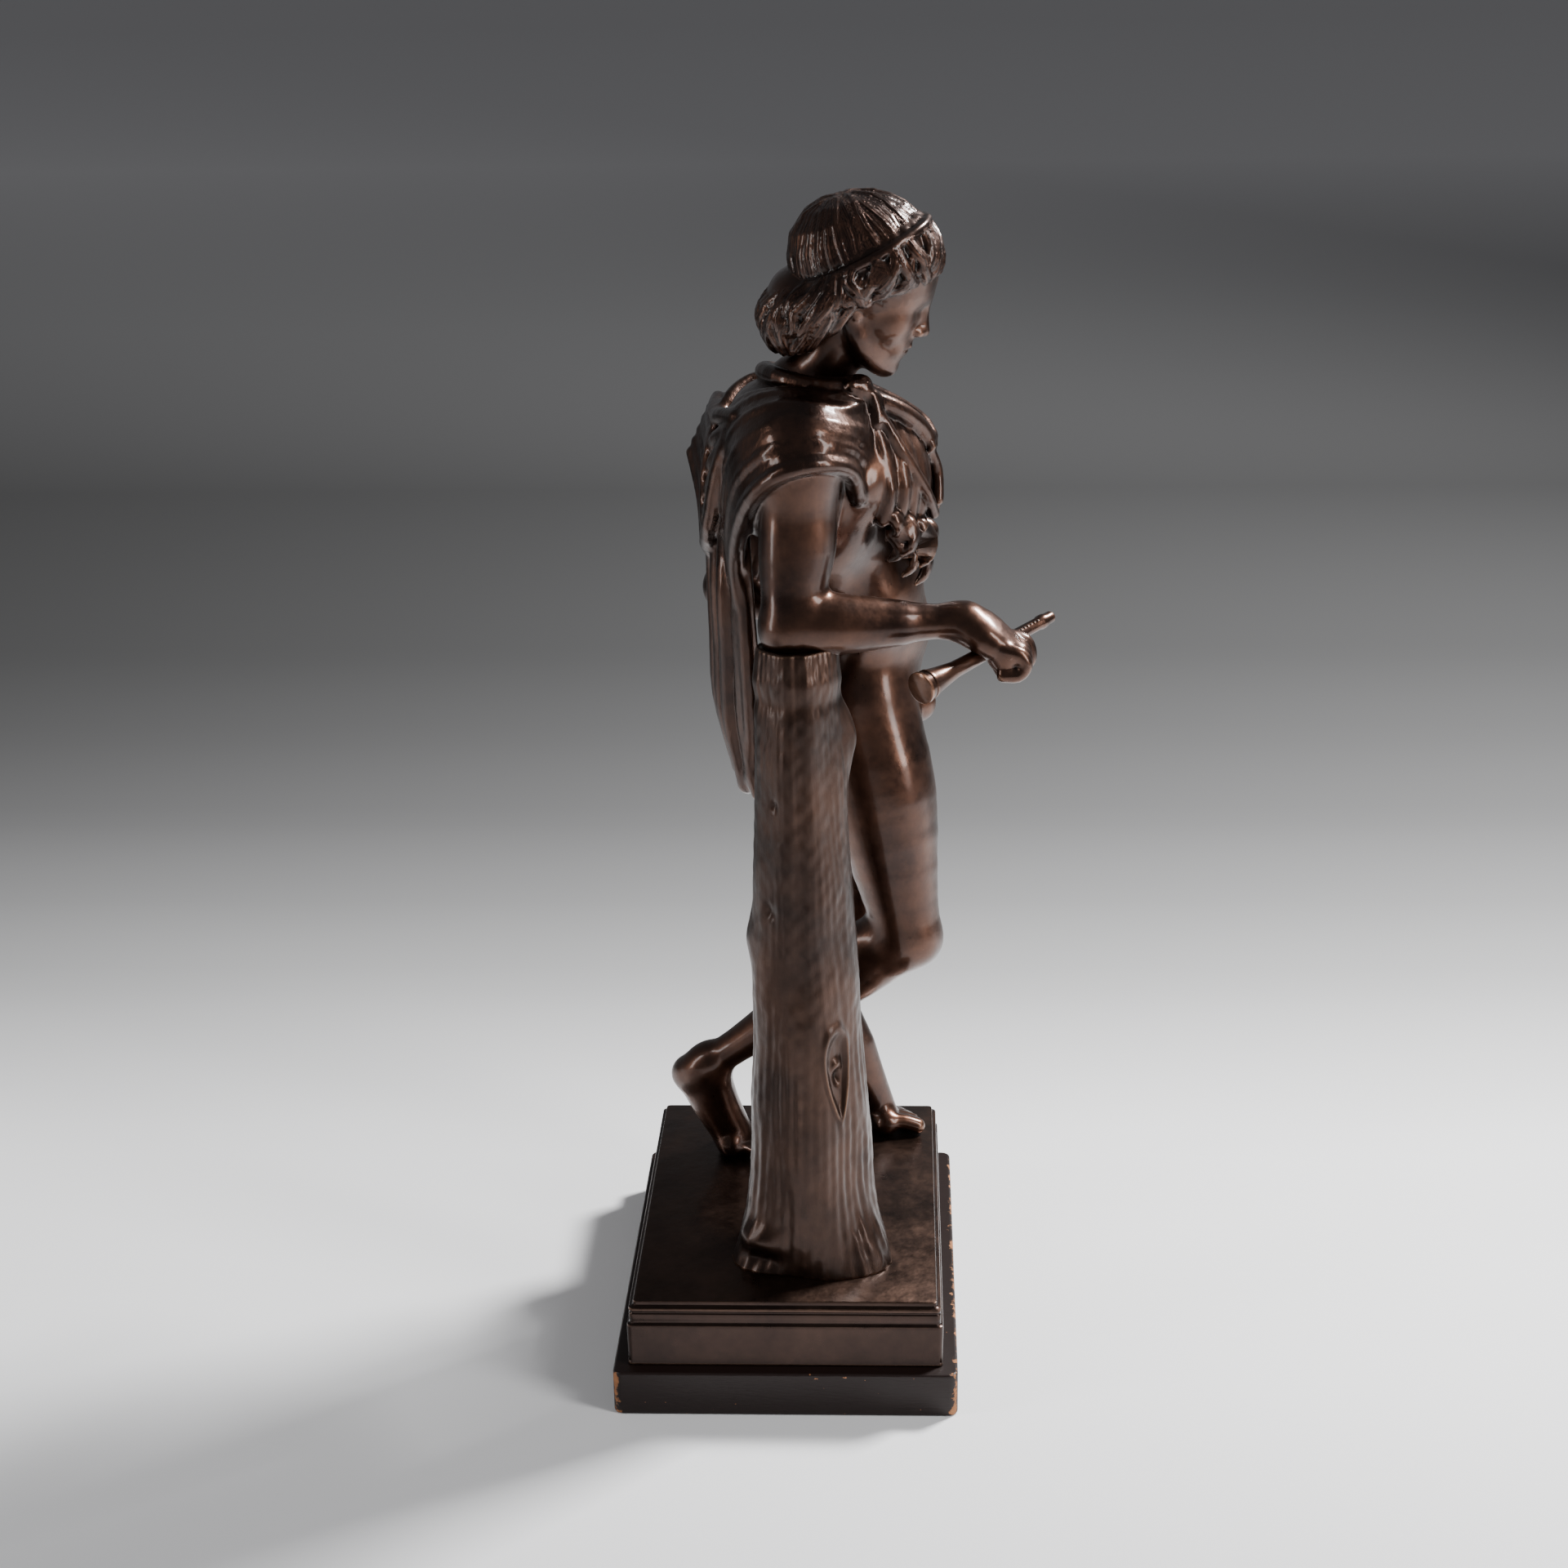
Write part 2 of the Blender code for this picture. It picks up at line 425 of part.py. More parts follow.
def head(c, generic=True):
    pitch = 22
    axes = rot((0, 0, 0))
    p = np.radians(pitch)
    side = np.array([1, 0, 0]); front = np.array([0, -np.cos(p), -np.sin(p)]); up = np.array([0, -np.sin(p), np.cos(p)])
    tilt = np.radians(3)
    side2 = side * np.cos(tilt) + up * np.sin(tilt); up2 = -side * np.sin(tilt) + up * np.cos(tilt)
    c.place(HEAD_AT, [side2, front, up2], HEAD)
    k = 0.006
    c.egg((0, -0.07, 0.13), (0.345, 0.42, 0.36), soft=k)
    c.egg((0, 0.14, 0.10), (0.285, 0.235, 0.27), soft=k)
    c.egg((0, 0.14, -0.12), (0.245, 0.225, 0.27), soft=k)
    c.egg((0, 0.16, -0.30), (0.19, 0.19, 0.16), soft=k)
    c.path([(-0.20, 0.0, -0.22), (-0.13, 0.2, -0.38), (0, 0.29, -0.435), (0.13, 0.2, -0.38), (0.20, 0.0, -0.22)], [0.06, 0.06, 0.07, 0.06, 0.06], soft=0.004)
    c.egg((0, 0.325, -0.42), (0.08, 0.065, 0.06), soft=0.003)
    # brow, nose
    c.path([(-0.20, 0.27, 0.055), (-0.07, 0.355, 0.05), (0.07, 0.355, 0.05), (0.20, 0.27, 0.055)], [0.04, 0.045, 0.045, 0.04], soft=0.003)
    c.path([(0, 0.365, 0.06), (0, 0.405, -0.04), (0, 0.455, -0.155)], [0.034, 0.032, 0.042], soft=0.0025)
    for s in (-1, 1):
        c.egg((s * 0.045, 0.42, -0.165), (0.028, 0.04, 0.028), soft=0.0015)
        c.egg((s * 0.14, 0.385, 0.0), (0.085, 0.05, 0.05), soft=0.003, cut=True)
        c.egg((s * 0.135, 0.285, -0.005), (0.068, 0.068, 0.060), soft=0.0012)
        c.path([(s * 0.215, 0.295, -0.005), (s * 0.175, 0.345, 0.022), (s * 0.12, 0.362, 0.028), (s * 0.065, 0.34, -0.004)], [0.011, 0.014, 0.014, 0.011], soft=0.001)
        c.path([(s * 0.205, 0.30, -0.012), (s * 0.17, 0.335, -0.032), (s * 0.12, 0.345, -0.036), (s * 0.07, 0.338, -0.012)], [0.009, 0.010, 0.010, 0.009], soft=0.001)
        c.egg((s * 0.165, 0.22, -0.14), (0.09, 0.09, 0.08), soft=0.005)
        # ear
        c.path([(s * 0.30, -0.02, -0.13), (s * 0.325, -0.05, -0.08), (s * 0.335, -0.065, 0.0), (s * 0.325, -0.03, 0.045), (s * 0.30, 0.005, 0.03)], [0.03, 0.022, 0.022, 0.024, 0.02], soft=0.0015)
        c.egg((s * 0.29, -0.025, -0.04), (0.03, 0.05, 0.08), soft=0.002)
    # mouth
    c.egg((0, 0.335, -0.275), (0.10, 0.055, 0.075), soft=0.003)
    c.path([(-0.085, 0.345, -0.278), (-0.03, 0.395, -0.262), (0.03, 0.395, -0.262), (0.085, 0.345, -0.278)], [0.012, 0.02, 0.02, 0.012], soft=0.0012)
    c.path([(-0.075, 0.345, -0.295), (0, 0.385, -0.308), (0.075, 0.345, -0.295)], [0.012, 0.026, 0.012], soft=0.0012)

def right_hand(c):
    w = WRIST_R
    # the back of the hand slopes down to a fist that holds the pipe
    for i in range(4):
        x = -0.0615 + 0.0075 * i
        knuckle = (x, -0.1225 - 0.0012 * i, 0.3625 + (0, 0.0012, 0.0012, 0.0)[i])
        c.path([off(w, (x + 0.050) * 0.45, -0.003, 0.0), knuckle], [0.0080, 0.0050], soft=0.005)
        out = 0.0042 * (i == 3)
        c.path([knuckle, (x, -0.1290 - 0.0012 * i - out, 0.3530), (x - 0.001, -0.1255 - 0.001 * i - out, 0.3465), (x - 0.003, -0.1165 - 2 * out, 0.3445)],
               [0.0046, 0.0040, 0.0038, 0.0034], soft=0.0022)
    c.path([off(w, 0.001, 0.0, -0.003), (-0.050, -0.1120, 0.3595)], [0.0085, 0.0070], soft=0.005)
    # thumb along the far side
    c.path([off(w, 0.008, -0.004, -0.006), (-0.0340, -0.1140, 0.3610), (-0.0330, -0.1230, 0.3565), (-0.0370, -0.1300, 0.3525)], [0.0060, 0.0050, 0.0042, 0.0036], soft=0.003)

def cloak(c):
    # capes over both shoulders
    c.egg(off(SHOULDER_R, 0.004, 0.001, 0.0055), (0.0290, 0.0300, 0.0290), soft=0.004, tag="skin")
    c.egg((0.058, 0.022, 0.4460), (0.029, 0.031, 0.027), turn=(0, 12, 0), soft=0.004, tag="skin")
    c.egg((0.055, 0.040, 0.4390), (0.015, 0.0155, 0.018), soft=0.004, tag="skin")
    c.egg((0.006, 0.004, 0.4710), (0.048, 0.024, 0.022), soft=0.008, tag="skin")
    # rolled lower edge of the right cape and the folds above it
    edges = [
        ([(-0.040, -0.0430, 0.4390), (-0.056, -0.0375, 0.4570), (-0.070, -0.0220, 0.4640), (-0.0745, -0.0060, 0.4635), (-0.066, 0.0100, 0.4580), (-0.045, 0.0220, 0.4420), (-0.020, 0.0320, 0.4180)], 0.0034),
        ([(-0.025, -0.0420, 0.4830), (-0.044, -0.0400, 0.4720), (-0.060, -0.0220, 0.4835), (-0.064, -0.0050, 0.4860), (-0.050, 0.0160, 0.4790), (-0.030, 0.0270, 0.4640), (-0.012, 0.0340, 0.4340)], 0.0030),
        ([(-0.022, -0.0400, 0.4930), (-0.036, -0.0280, 0.4885), (-0.046, -0.0090, 0.4935), (-0.036, 0.0120, 0.4900), (-0.014, 0.0230, 0.4820), (0.002, 0.0345, 0.4490)], 0.0030),
        ([(-0.022, -0.0400, 0.4960), (-0.031, -0.0200, 0.4975), (-0.018, 0.0020, 0.4990), (0.004, 0.0090, 0.4975), (0.026, 0.0030, 0.4940), (0.036, -0.0150, 0.4870), (0.034, -0.036, 0.4790)], 0.0042),
    ]
    for points, r in edges:
        c.path(points, [r * 0.8] + [r] * (len(points) - 2) + [r * 0.8], soft=0.0035, tag="skin")
    # the cloth in front of the armpit
    c.path([(-0.022, -0.040, 0.4900), (-0.032, -0.046, 0.4660), (-0.036, -0.046, 0.4400)], [0.008, 0.0085, 0.004], soft=0.004, normal=(0.5, 1, 0), flat=0.5, tag="skin")
    # the fall behind the back, in upright folds
    n = 7
    for i in range(n):
        t = i / (n - 1)
        x = -0.016 + 0.080 * t
        y = 0.023 + 0.011 * np.sin(np.pi * min(1, t * 1.6) / 2) + (0.002 if i % 2 else -0.0015)
        low = 0.268 + 0.022 * t + (0.004 if i % 2 else 0)
        c.path([(x * 0.75 + 0.006, 0.018 + 0.004 * t, 0.469), (x * 0.9, y - 0.002, 0.424), (x, y, 0.374), (x + 0.004, y + 0.002, 0.319), (x + 0.006, y - 0.008, low)],
               [0.009, 0.0092, 0.0085, 0.0085, 0.0070], soft=0.004, normal=(0, 1, 0), flat=0.62, tag="skin")
    c.path([(-0.019, 0.0205, 0.4040), (-0.021, 0.0190, 0.3640), (-0.020, 0.0150, 0.3190), (-0.012, 0.0150, 0.2790)], [0.004, 0.005, 0.005, 0.005], soft=0.004, tag="skin")
    c.path([(-0.012, 0.0155, 0.2720), (0.002, 0.0195, 0.2690), (0.030, 0.0260, 0.2790), (0.064, 0.0270, 0.2940)], [0.0062, 0.0062, 0.0055, 0.005], soft=0.004, tag="skin")
    chest_skin(c)

def chest_skin(c):
    c.egg((0.016, -0.060, 0.4280), (0.034, 0.0150, 0.036), turn=(6, 0, 0), soft=0.004, tag="skin")
    # clasp, paws and straps
    c.egg((-0.022, -0.043, 0.4940), (0.0075, 0.0070, 0.0070), soft=0.0025, tag="skin")
    c.path([(-0.022, -0.046, 0.4870), (-0.010, -0.055, 0.4800), (0.004, -0.064, 0.4680), (0.012, -0.068, 0.4620)], [0.0060, 0.0055, 0.0060, 0.0065], soft=0.003, tag="skin")
    c.path([(0.036, -0.042, 0.4820), (0.030, -0.056, 0.4740), (0.018, -0.067, 0.4640)], [0.0060, 0.0058, 0.0062], soft=0.003, tag="skin")
    c.path([(-0.020, -0.048, 0.4820), (-0.014, -0.060, 0.4540), (-0.006, -0.069, 0.4260), (0.002, -0.073, 0.4180)], [0.0040, 0.0042, 0.0045, 0.0030], soft=0.003, tag="skin")
    c.path([(0.014, -0.070, 0.4580), (0.018, -0.080, 0.4340), (0.016, -0.080, 0.4200)], [0.0045, 0.0050, 0.0030], soft=0.003, tag="skin")
    c.path([(0.034, -0.062, 0.4640), (0.040, -0.077, 0.4340), (0.040, -0.080, 0.4140)], [0.0060, 0.0070, 0.0040], soft=0.003, tag="skin")
    # hanging locks of the hide along the lower edge
    for i in range(9):
        t = i / 8
        x = -0.014 + 0.058 * t
        drop = 0.014 * np.sin(np.pi * (0.15 + 0.75 * t))
        y = -0.056 - 0.024 * np.sin(np.pi * min(1, t * 1.25) / 2)
        c.path([(x, y + 0.003, 0.422), (x + 0.002, y - 0.0015, 0.408 - drop * 0.5), (x + 0.001, y + 0.0015, 0.396 - drop)], [0.0065, 0.0058, 0.0026], soft=0.0018, normal=(0.25, 1, 0), flat=0.7, tag="skin")

def hair(c):
    k = 0.003
    c.egg((0, -0.055, 0.13), (0.385, 0.475, 0.40), soft=k, tag="hair")
    # fillet
    band = [(0.39 * np.sin(a), -0.03 + 0.475 * np.cos(a), 0.13 + 0.14 * np.cos(a)) for a in np.linspace(0, 2 * np.pi, 25)]
    c.path(band, 0.028, soft=0.0012, tag="hair")
    # roll of curls at the nape
    for i in range(11):
        a = np.pi * (0.58 + 0.84 * i / 10)
        x, y = 0.36 * np.sin(a), -0.05 + 0.40 * np.cos(a)
        c.path([(x * 0.98, y, -0.13), (x * 1.03, y - 0.02, -0.26), (x * 0.98, y - 0.03, -0.37), (x * 0.80, y * 0.9, -0.42)], [0.07, 0.085, 0.085, 0.06], soft=k * 0.6, tag="hair")
    # curls round the brow and the temples
    for i in range(13):
        a = np.pi * (-0.5 + i / 12) * 0.98
        x, y = 0.345 * np.sin(a), 0.02 + 0.37 * np.cos(a)
        z = 0.23 - 0.20 * np.sin(a) ** 2
        c.path([(x * 0.93, y * 0.90 - 0.01, z + 0.10), (x * 1.06, y + 0.05, z + 0.03), (x * 1.04, y + 0.035, z - 0.045)], [0.055, 0.065, 0.050], soft=k * 0.5, tag="hair")


def main():
    for obj in list(bpy.data.objects):
        bpy.data.objects.remove(obj, do_unlink=True)
    bronze = material("brown_bronze", (0.060, 0.032, 0.022), 0.85, 0.36)
    bark = material("stump_bronze", (0.055, 0.030, 0.021), 0.80, 0.48)
    plate = material("base_bronze", (0.040, 0.024, 0.018), 0.75, 0.34)
    paint = material("dark_painted_wood", (0.020, 0.012, 0.009), 0.0, 0.38)
    stump_top = GROUND + S * (ELBOW_R[2] - 0.0172)
    plinth_slab(paint)
    moulded_base(plate)
    tree_stump(bark, stump_top)
    pipe(bronze)
    youth_figure(bronze, stump_top)


main()
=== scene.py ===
# %% [markdown]
# This notebook dresses a bronze statue of a youth who leans on a tree stump. The solids
# arrive as a fixed frame in metres, +Z up, with the origin under the middle of the plinth.
# The figure faces -Y and its left side is towards +X, so the picture looks along +X.
# Every piece made here sits where its solid sits, and only the surface gets richer.

# %% Load the frame
import bpy
import bmesh
import numpy as np
from math import cos, pi, radians, sin
from mathutils import Matrix, Vector
from mathutils.kdtree import KDTree
from mathutils.noise import noise as noise_at


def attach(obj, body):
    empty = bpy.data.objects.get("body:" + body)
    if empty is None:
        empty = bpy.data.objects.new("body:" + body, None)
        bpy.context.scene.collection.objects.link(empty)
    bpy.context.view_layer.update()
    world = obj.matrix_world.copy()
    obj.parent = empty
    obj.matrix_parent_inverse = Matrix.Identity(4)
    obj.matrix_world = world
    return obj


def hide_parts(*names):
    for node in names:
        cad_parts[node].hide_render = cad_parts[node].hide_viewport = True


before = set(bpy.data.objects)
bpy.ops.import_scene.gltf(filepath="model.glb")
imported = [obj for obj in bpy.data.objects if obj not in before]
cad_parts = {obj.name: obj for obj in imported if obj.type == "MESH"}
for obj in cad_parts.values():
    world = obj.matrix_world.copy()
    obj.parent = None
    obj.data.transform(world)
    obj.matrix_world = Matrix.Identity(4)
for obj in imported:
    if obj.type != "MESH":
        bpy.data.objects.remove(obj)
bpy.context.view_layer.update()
print("solids:", sorted(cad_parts))

# %% [markdown]
# The plinth's sizes repeat the ones that the solids were made with. The figure's points
# further down are given in millimetres from the top of the bronze plate, because a sculptor's
# small sizes read better so, and MM turns them into metres.

# %% Sizes
MM = 0.001
SLAB_THICKNESS, SLAB_CORNER, SLAB_MARGIN = 0.0267, 0.0055, 0.0081
FASCIA_HEIGHT, FASCIA_MARGIN, MOULDING_HEIGHT = 0.0229, 0.00365, 0.0160
PLATE_LENGTH, PLATE_WIDTH, PLATE_CORNER = 0.2427, 0.1700, 0.0022
GAP = 0.0003
BASE_BOTTOM = SLAB_THICKNESS + GAP
PLATE_TOP = BASE_BOTTOM + FASCIA_HEIGHT + MOULDING_HEIGHT
GROUND = PLATE_TOP + GAP

# %% [markdown]
# A cast figure has no seams: every muscle runs into the next. Stacked primitives would show
# their joins, so the figure is modelled the way clay is. Bars and eggs are placed on a
# skeleton, each is blended into the ones before it with its own softness, and the skin is
# read off the blended distance field with surface nets, as quads of even size.

# %% Turned axes
def rot(turn):
    """Axes turned by these degrees about x, then y, then z, one per row."""
    a, b, c = np.radians(turn)
    x = np.array([[1, 0, 0], [0, np.cos(a), np.sin(a)], [0, -np.sin(a), np.cos(a)]])
    y = np.array([[np.cos(b), 0, -np.sin(b)], [0, 1, 0], [np.sin(b), 0, np.cos(b)]])
    z = np.array([[np.cos(c), np.sin(c), 0], [-np.sin(c), np.cos(c), 0], [0, 0, 1]])
    return x @ y @ z

# %% Smooth paths
def smoothed(points, radii, steps=3):
    """The points and radii with others between them, on one curve through them all."""
    p = np.column_stack([points, radii])
    if len(p) < 3:
        return p[:, :3], p[:, 3]
    q = np.vstack([2 * p[0] - p[1], p, 2 * p[-1] - p[-2]])
    out = []
    for a, b, c, d in zip(q[:-3], q[1:-2], q[2:-1], q[3:]):
        for t in np.arange(steps) / steps:
            out.append(b + 0.5 * t * (c - a + t * (2 * a - 5 * b + 4 * c - d + t * (3 * (b - c) + d - a))))
    out = np.array(out + [p[-1]])
    return out[:, :3], out[:, 3]


# %% Clay: bars and eggs
FLESH, SKIN, HAIR, FIRST_STRAND = 0, 1, 2, 10


class Clay:
    """Rounded forms, each worked into the ones before it with its own softness."""

    def __init__(self):
        self.forms = []
        self.strands = {}
        self.start()

    def start(self):
        """Back to bare flesh, measured from the middle of the plate's top."""
        self.tag = FLESH
        self.place((0, 0, 0), np.eye(3))

    def place(self, origin, axes, scale=1.0):
        """Following forms are given in this frame, in mm times scale; its rows are side, front, up."""
        self.origin, self.axes = np.array(origin, float) * MM, np.array(axes, float)
        self.scale = scale * MM

    def world(self, p):
        """A point of the frame in metres."""
        return self.origin + (np.array(p, float) * self.scale) @ self.axes

    def path(self, points, radii, soft=3, cut=False, normal=None, flat=1.0, tag=None):
        """A round or flattened bar through points; flat is its thickness over its width."""
        pts = np.array([self.world(p) for p in points])
        rr = np.broadcast_to(np.array(radii, float), (len(pts),)) * self.scale
        if tag is None:
            tag = self.tag
            pts, rr = smoothed(pts, rr)
        n = None
        if normal is not None:
            n = np.array(normal, float) @ self.axes
            n /= np.linalg.norm(n)
        bars = [(a, b, ra, rb, n, flat) for a, b, ra, rb in zip(pts[:-1], pts[1:], rr[:-1], rr[1:])]
        self.forms.append((bars, soft * MM, cut, tag))

    def strand(self, points, radii, soft):
        """A path of hair with a tag of its own, so that its comb lines can follow it."""
        tag = FIRST_STRAND + len(self.strands)
        self.strands[tag] = np.array([self.world(p) for p in points])
        self.path(points, radii, soft=soft, tag=tag)

    def egg(self, at, radii, turn=None, soft=3, cut=False):
        """An ellipsoid with its three radii, turned by degrees."""
        rr = np.broadcast_to(np.array(radii, float), (3,)) * self.scale
        axes = self.axes if turn is None else rot(turn) @ self.axes
        self.forms.append(([(self.world(at), axes, rr)], soft * MM, cut, self.tag))

# %% Distance to a form
def bar_distance(bar, p):
    """Signed distance from points p to one bar or egg."""
    if len(bar) == 3:
        centre, axes, radii = bar
        v = (p - centre) @ axes.T
        k0 = np.sqrt(np.einsum("...i,...i", v / radii, v / radii))
        w = v / radii ** 2
        return k0 * (k0 - 1) / (np.sqrt(np.einsum("...i,...i", w, w)) + 1e-9)
    a, b, ra, rb, n, flat = bar
    ab = b - a
    v = p - a
    h = np.clip((v @ ab) / max(ab @ ab, 1e-12), 0, 1)
    v = v - h[..., None] * ab
    r = ra + h * (rb - ra)
    vv = np.einsum("...i,...i", v, v)
    if n is None:
        return np.sqrt(vv) - r
    vn = (v @ n) ** 2
    vt, t = np.maximum(vv - vn, 0), r * flat
    k0 = np.sqrt(vt / r ** 2 + vn / t ** 2)
    return k0 * (k0 - 1) / (np.sqrt(vt / r ** 4 + vn / t ** 4) + 1e-9)

# %% Rounded joins
def soft_min(a, b, k):
    """The smaller of two distances, rounded over a width of k where they meet."""
    h = np.maximum(k - np.abs(a - b), 0) / k
    return np.minimum(a, b) - h * h * k * 0.25

# %% Blocks near the surface
def near_blocks(forms, corners, size, band=0.004):
    """The blocks that the surface may cross, and each form's blocks with its bars there."""
    centres = corners + size / 2
    reach = size * 0.87
    dist = np.full(len(corners), 1.0)
    lists = []
    for bars, soft, cut, _ in forms:
        ends = np.array([bar[0] for bar in bars] + [bar[1] for bar in bars if len(bar) > 3])
        wide = max(max(bar[2:4]) if len(bar) > 3 else max(bar[2]) for bar in bars)
        wide += reach * 1.5 + soft + band
        rows = np.flatnonzero(((centres > ends.min(0) - wide) & (centres < ends.max(0) + wide)).all(1))
        each = np.array([bar_distance(bar, centres[rows]) for bar in bars])
        e = each.min(0)
        use = e < reach * 1.5 + soft + band
        rows, each, e = rows[use], each[:, use], e[use]
        lists.append((rows, each < np.maximum(e + 2.2 * reach, 0) + 1e-9))
        d, k = dist[rows], max(soft, 1e-5)
        dist[rows] = -soft_min(-d, e, k) if cut else soft_min(d, e, k)
    return np.abs(dist) < reach * 1.35 + band, lists

# %% Forms to a grid
def sculpt(forms, step, cells=8):
    """Surface nets of the forms over a grid: points, quads and each point's tag."""
    low = np.min([np.min([bar[0] for bar in f[0]], 0) for f in forms if not f[2]], 0) - 0.09
    high = np.max([np.max([bar[0] for bar in f[0]], 0) for f in forms if not f[2]], 0) + 0.09
    big = cells * step * 5
    count = np.ceil((high - low) / big).astype(int)
    corner = np.stack(np.meshgrid(*[np.arange(c) for c in count], indexing="ij"), -1).reshape(-1, 3)
    keep, _ = near_blocks(forms, low + corner * big, big)
    child = np.stack(np.meshgrid(*[np.arange(5)] * 3, indexing="ij"), -1).reshape(-1, 3)
    corner = (corner[keep][:, None] * 5 + child).reshape(-1, 3)
    keep, lists = near_blocks(forms, low + corner * (cells * step), cells * step)
    corner = corner[keep] * cells
    n = cells + 2
    grid = np.stack(np.meshgrid(*[np.arange(n)] * 3, indexing="ij"), -1).reshape(-1, 3)
    dist = np.full((len(corner), n ** 3), 1.0)
    tags = np.zeros((len(corner), n ** 3), np.int16)
    place = np.cumsum(keep) - 1
    for (bars, soft, cut, tag), (rows, near) in zip(forms, lists):
        rows, near = place[rows[keep[rows]]], near[:, keep[rows]]
        for some in np.array_split(np.arange(len(rows)), max(1, len(rows) // 400)):
            if len(some) == 0:
                continue
            part = rows[some]
            e = np.full((len(part), n ** 3), 1.0)
            for bar, mine in zip(bars, near):
                hit = np.flatnonzero(mine[some])
                if len(hit):
                    p = low + (corner[part[hit]][:, None] + grid) * step
                    e[hit] = np.minimum(e[hit], bar_distance(bar, p))
            d, k = dist[part], max(soft, 1e-5)
            tags[part] = np.where(e < d, tag, tags[part]) if not cut else tags[part]
            dist[part] = -soft_min(-d, e, k) if cut else soft_min(d, e, k)
    return surface_nets(dist.reshape(-1, n, n, n), tags.reshape(-1, n, n, n), corner, low, step, cells)

# %% Grid to faces
def surface_nets(f, tags, corner, low, step, cells):
    """One point in each cell that the surface crosses, and a quad across each crossed edge."""
    m = f.shape[1] - 1
    inside = f < 0
    offs = [(i, j, k) for i in (0, 1) for j in (0, 1) for k in (0, 1)]
    cube = [inside[:, i:i + m, j:j + m, k:k + m] for i, j, k in offs]
    total = sum(c.astype(np.int8) for c in cube)
    b, x, y, z = np.nonzero((total > 0) & (total < 8))
    cell = np.stack([x, y, z], 1)
    values = [f[b, x + i, y + j, z + k] for i, j, k in offs]
    acc, num = np.zeros((len(b), 3)), np.zeros(len(b))
    for s in range(8):
        for t in range(s + 1, 8):
            d = np.array(offs[t]) - offs[s]
            if np.abs(d).sum() == 1:
                cross = (values[s] < 0) != (values[t] < 0)
                w = np.where(cross, values[s] / np.where(cross, values[s] - values[t], 1), 0)
                acc += np.where(cross[:, None], np.array(offs[s]) + w[:, None] * d, 0)
                num += cross
    points = low + (corner[b] + cell + acc / num[:, None]) * step
    tag = tags[b, x, y, z]
    size = corner.max(0) + cells + 4
    stride = np.array([size[1] * size[2], size[2], 1], np.int64)
    keys = ((corner[b] + cell) * stride).sum(1)
    quads = []
    for axis in range(3):
        lo, up = [slice(None)] + [slice(1, cells + 1)] * 3, [slice(None)] + [slice(1, cells + 1)] * 3
        up[axis + 1] = slice(2, cells + 2)
        sa, sb = inside[tuple(lo)], inside[tuple(up)]
        bb, i, j, k = np.nonzero(sa != sb)
        base = corner[bb] + np.stack([i, j, k], 1) + 1
        u, v = np.eye(3, dtype=int)[(axis + 1) % 3], np.eye(3, dtype=int)[(axis + 2) % 3]
        q = np.stack([((base - s) * stride).sum(1) for s in (u + v, v, u * 0, u)], 1)
        quads.append(np.where(sa[bb, i, j, k][:, None], q, q[:, ::-1]))
    quads = np.concatenate(quads)
    keys, first = np.unique(keys, return_index=True)
    place = np.clip(np.searchsorted(keys, quads), 0, len(keys) - 1)
    whole = (keys[place] == quads).all(1)
    return points[first], place[whole], tag[first], int((~whole).sum())


# %% [markdown]
# The pose comes first, as a skeleton of joints measured from the top plate. The weight is on
# the left leg, the hips and shoulders tilt against each other, and the right elbow rests on
# the stump. The parts below hang their forms on these points.

# %% Joints of the pose
HEAD, HEAD_BOW, HEAD_LEAN = 86, 22, 3
NECK = (4, -16, 477)
SKULL = (-5, -34, 520)
HEAD_AT = (-6, -47.5, 546.5)
SHOULDER_R = (-50, -12.5, 467)
ELBOW_R = (-60, -8.5, 374.5)
WRIST_R = (-52, -98.5, 374)
SHOULDER_L = (66, 8, 457)
ELBOW_L = (122, 36, 346)
WRIST_L = (108, -18, 326)
CHEST = (8, -26, 431)
WAIST = (32, -46, 371)
PELVIS = (56, -43, 321)
HIP_R = (30, -40, 306)
KNEE_R = (12, -69, 165)
ANKLE_R = (48, 51, 65)
HIP_L = (82, -40, 316)
KNEE_L = (90, -44, 156)
ANKLE_L = (89, -14, 88)


def lerp(a, b, t):
    """The point at share t of the way from a to b."""
    return tuple(np.array(a) + (np.array(b) - np.array(a)) * t)


def off(p, dx=0, dy=0, dz=0):
    """A point moved by these steps."""
    return (p[0] + dx, p[1] + dy, p[2] + dz)


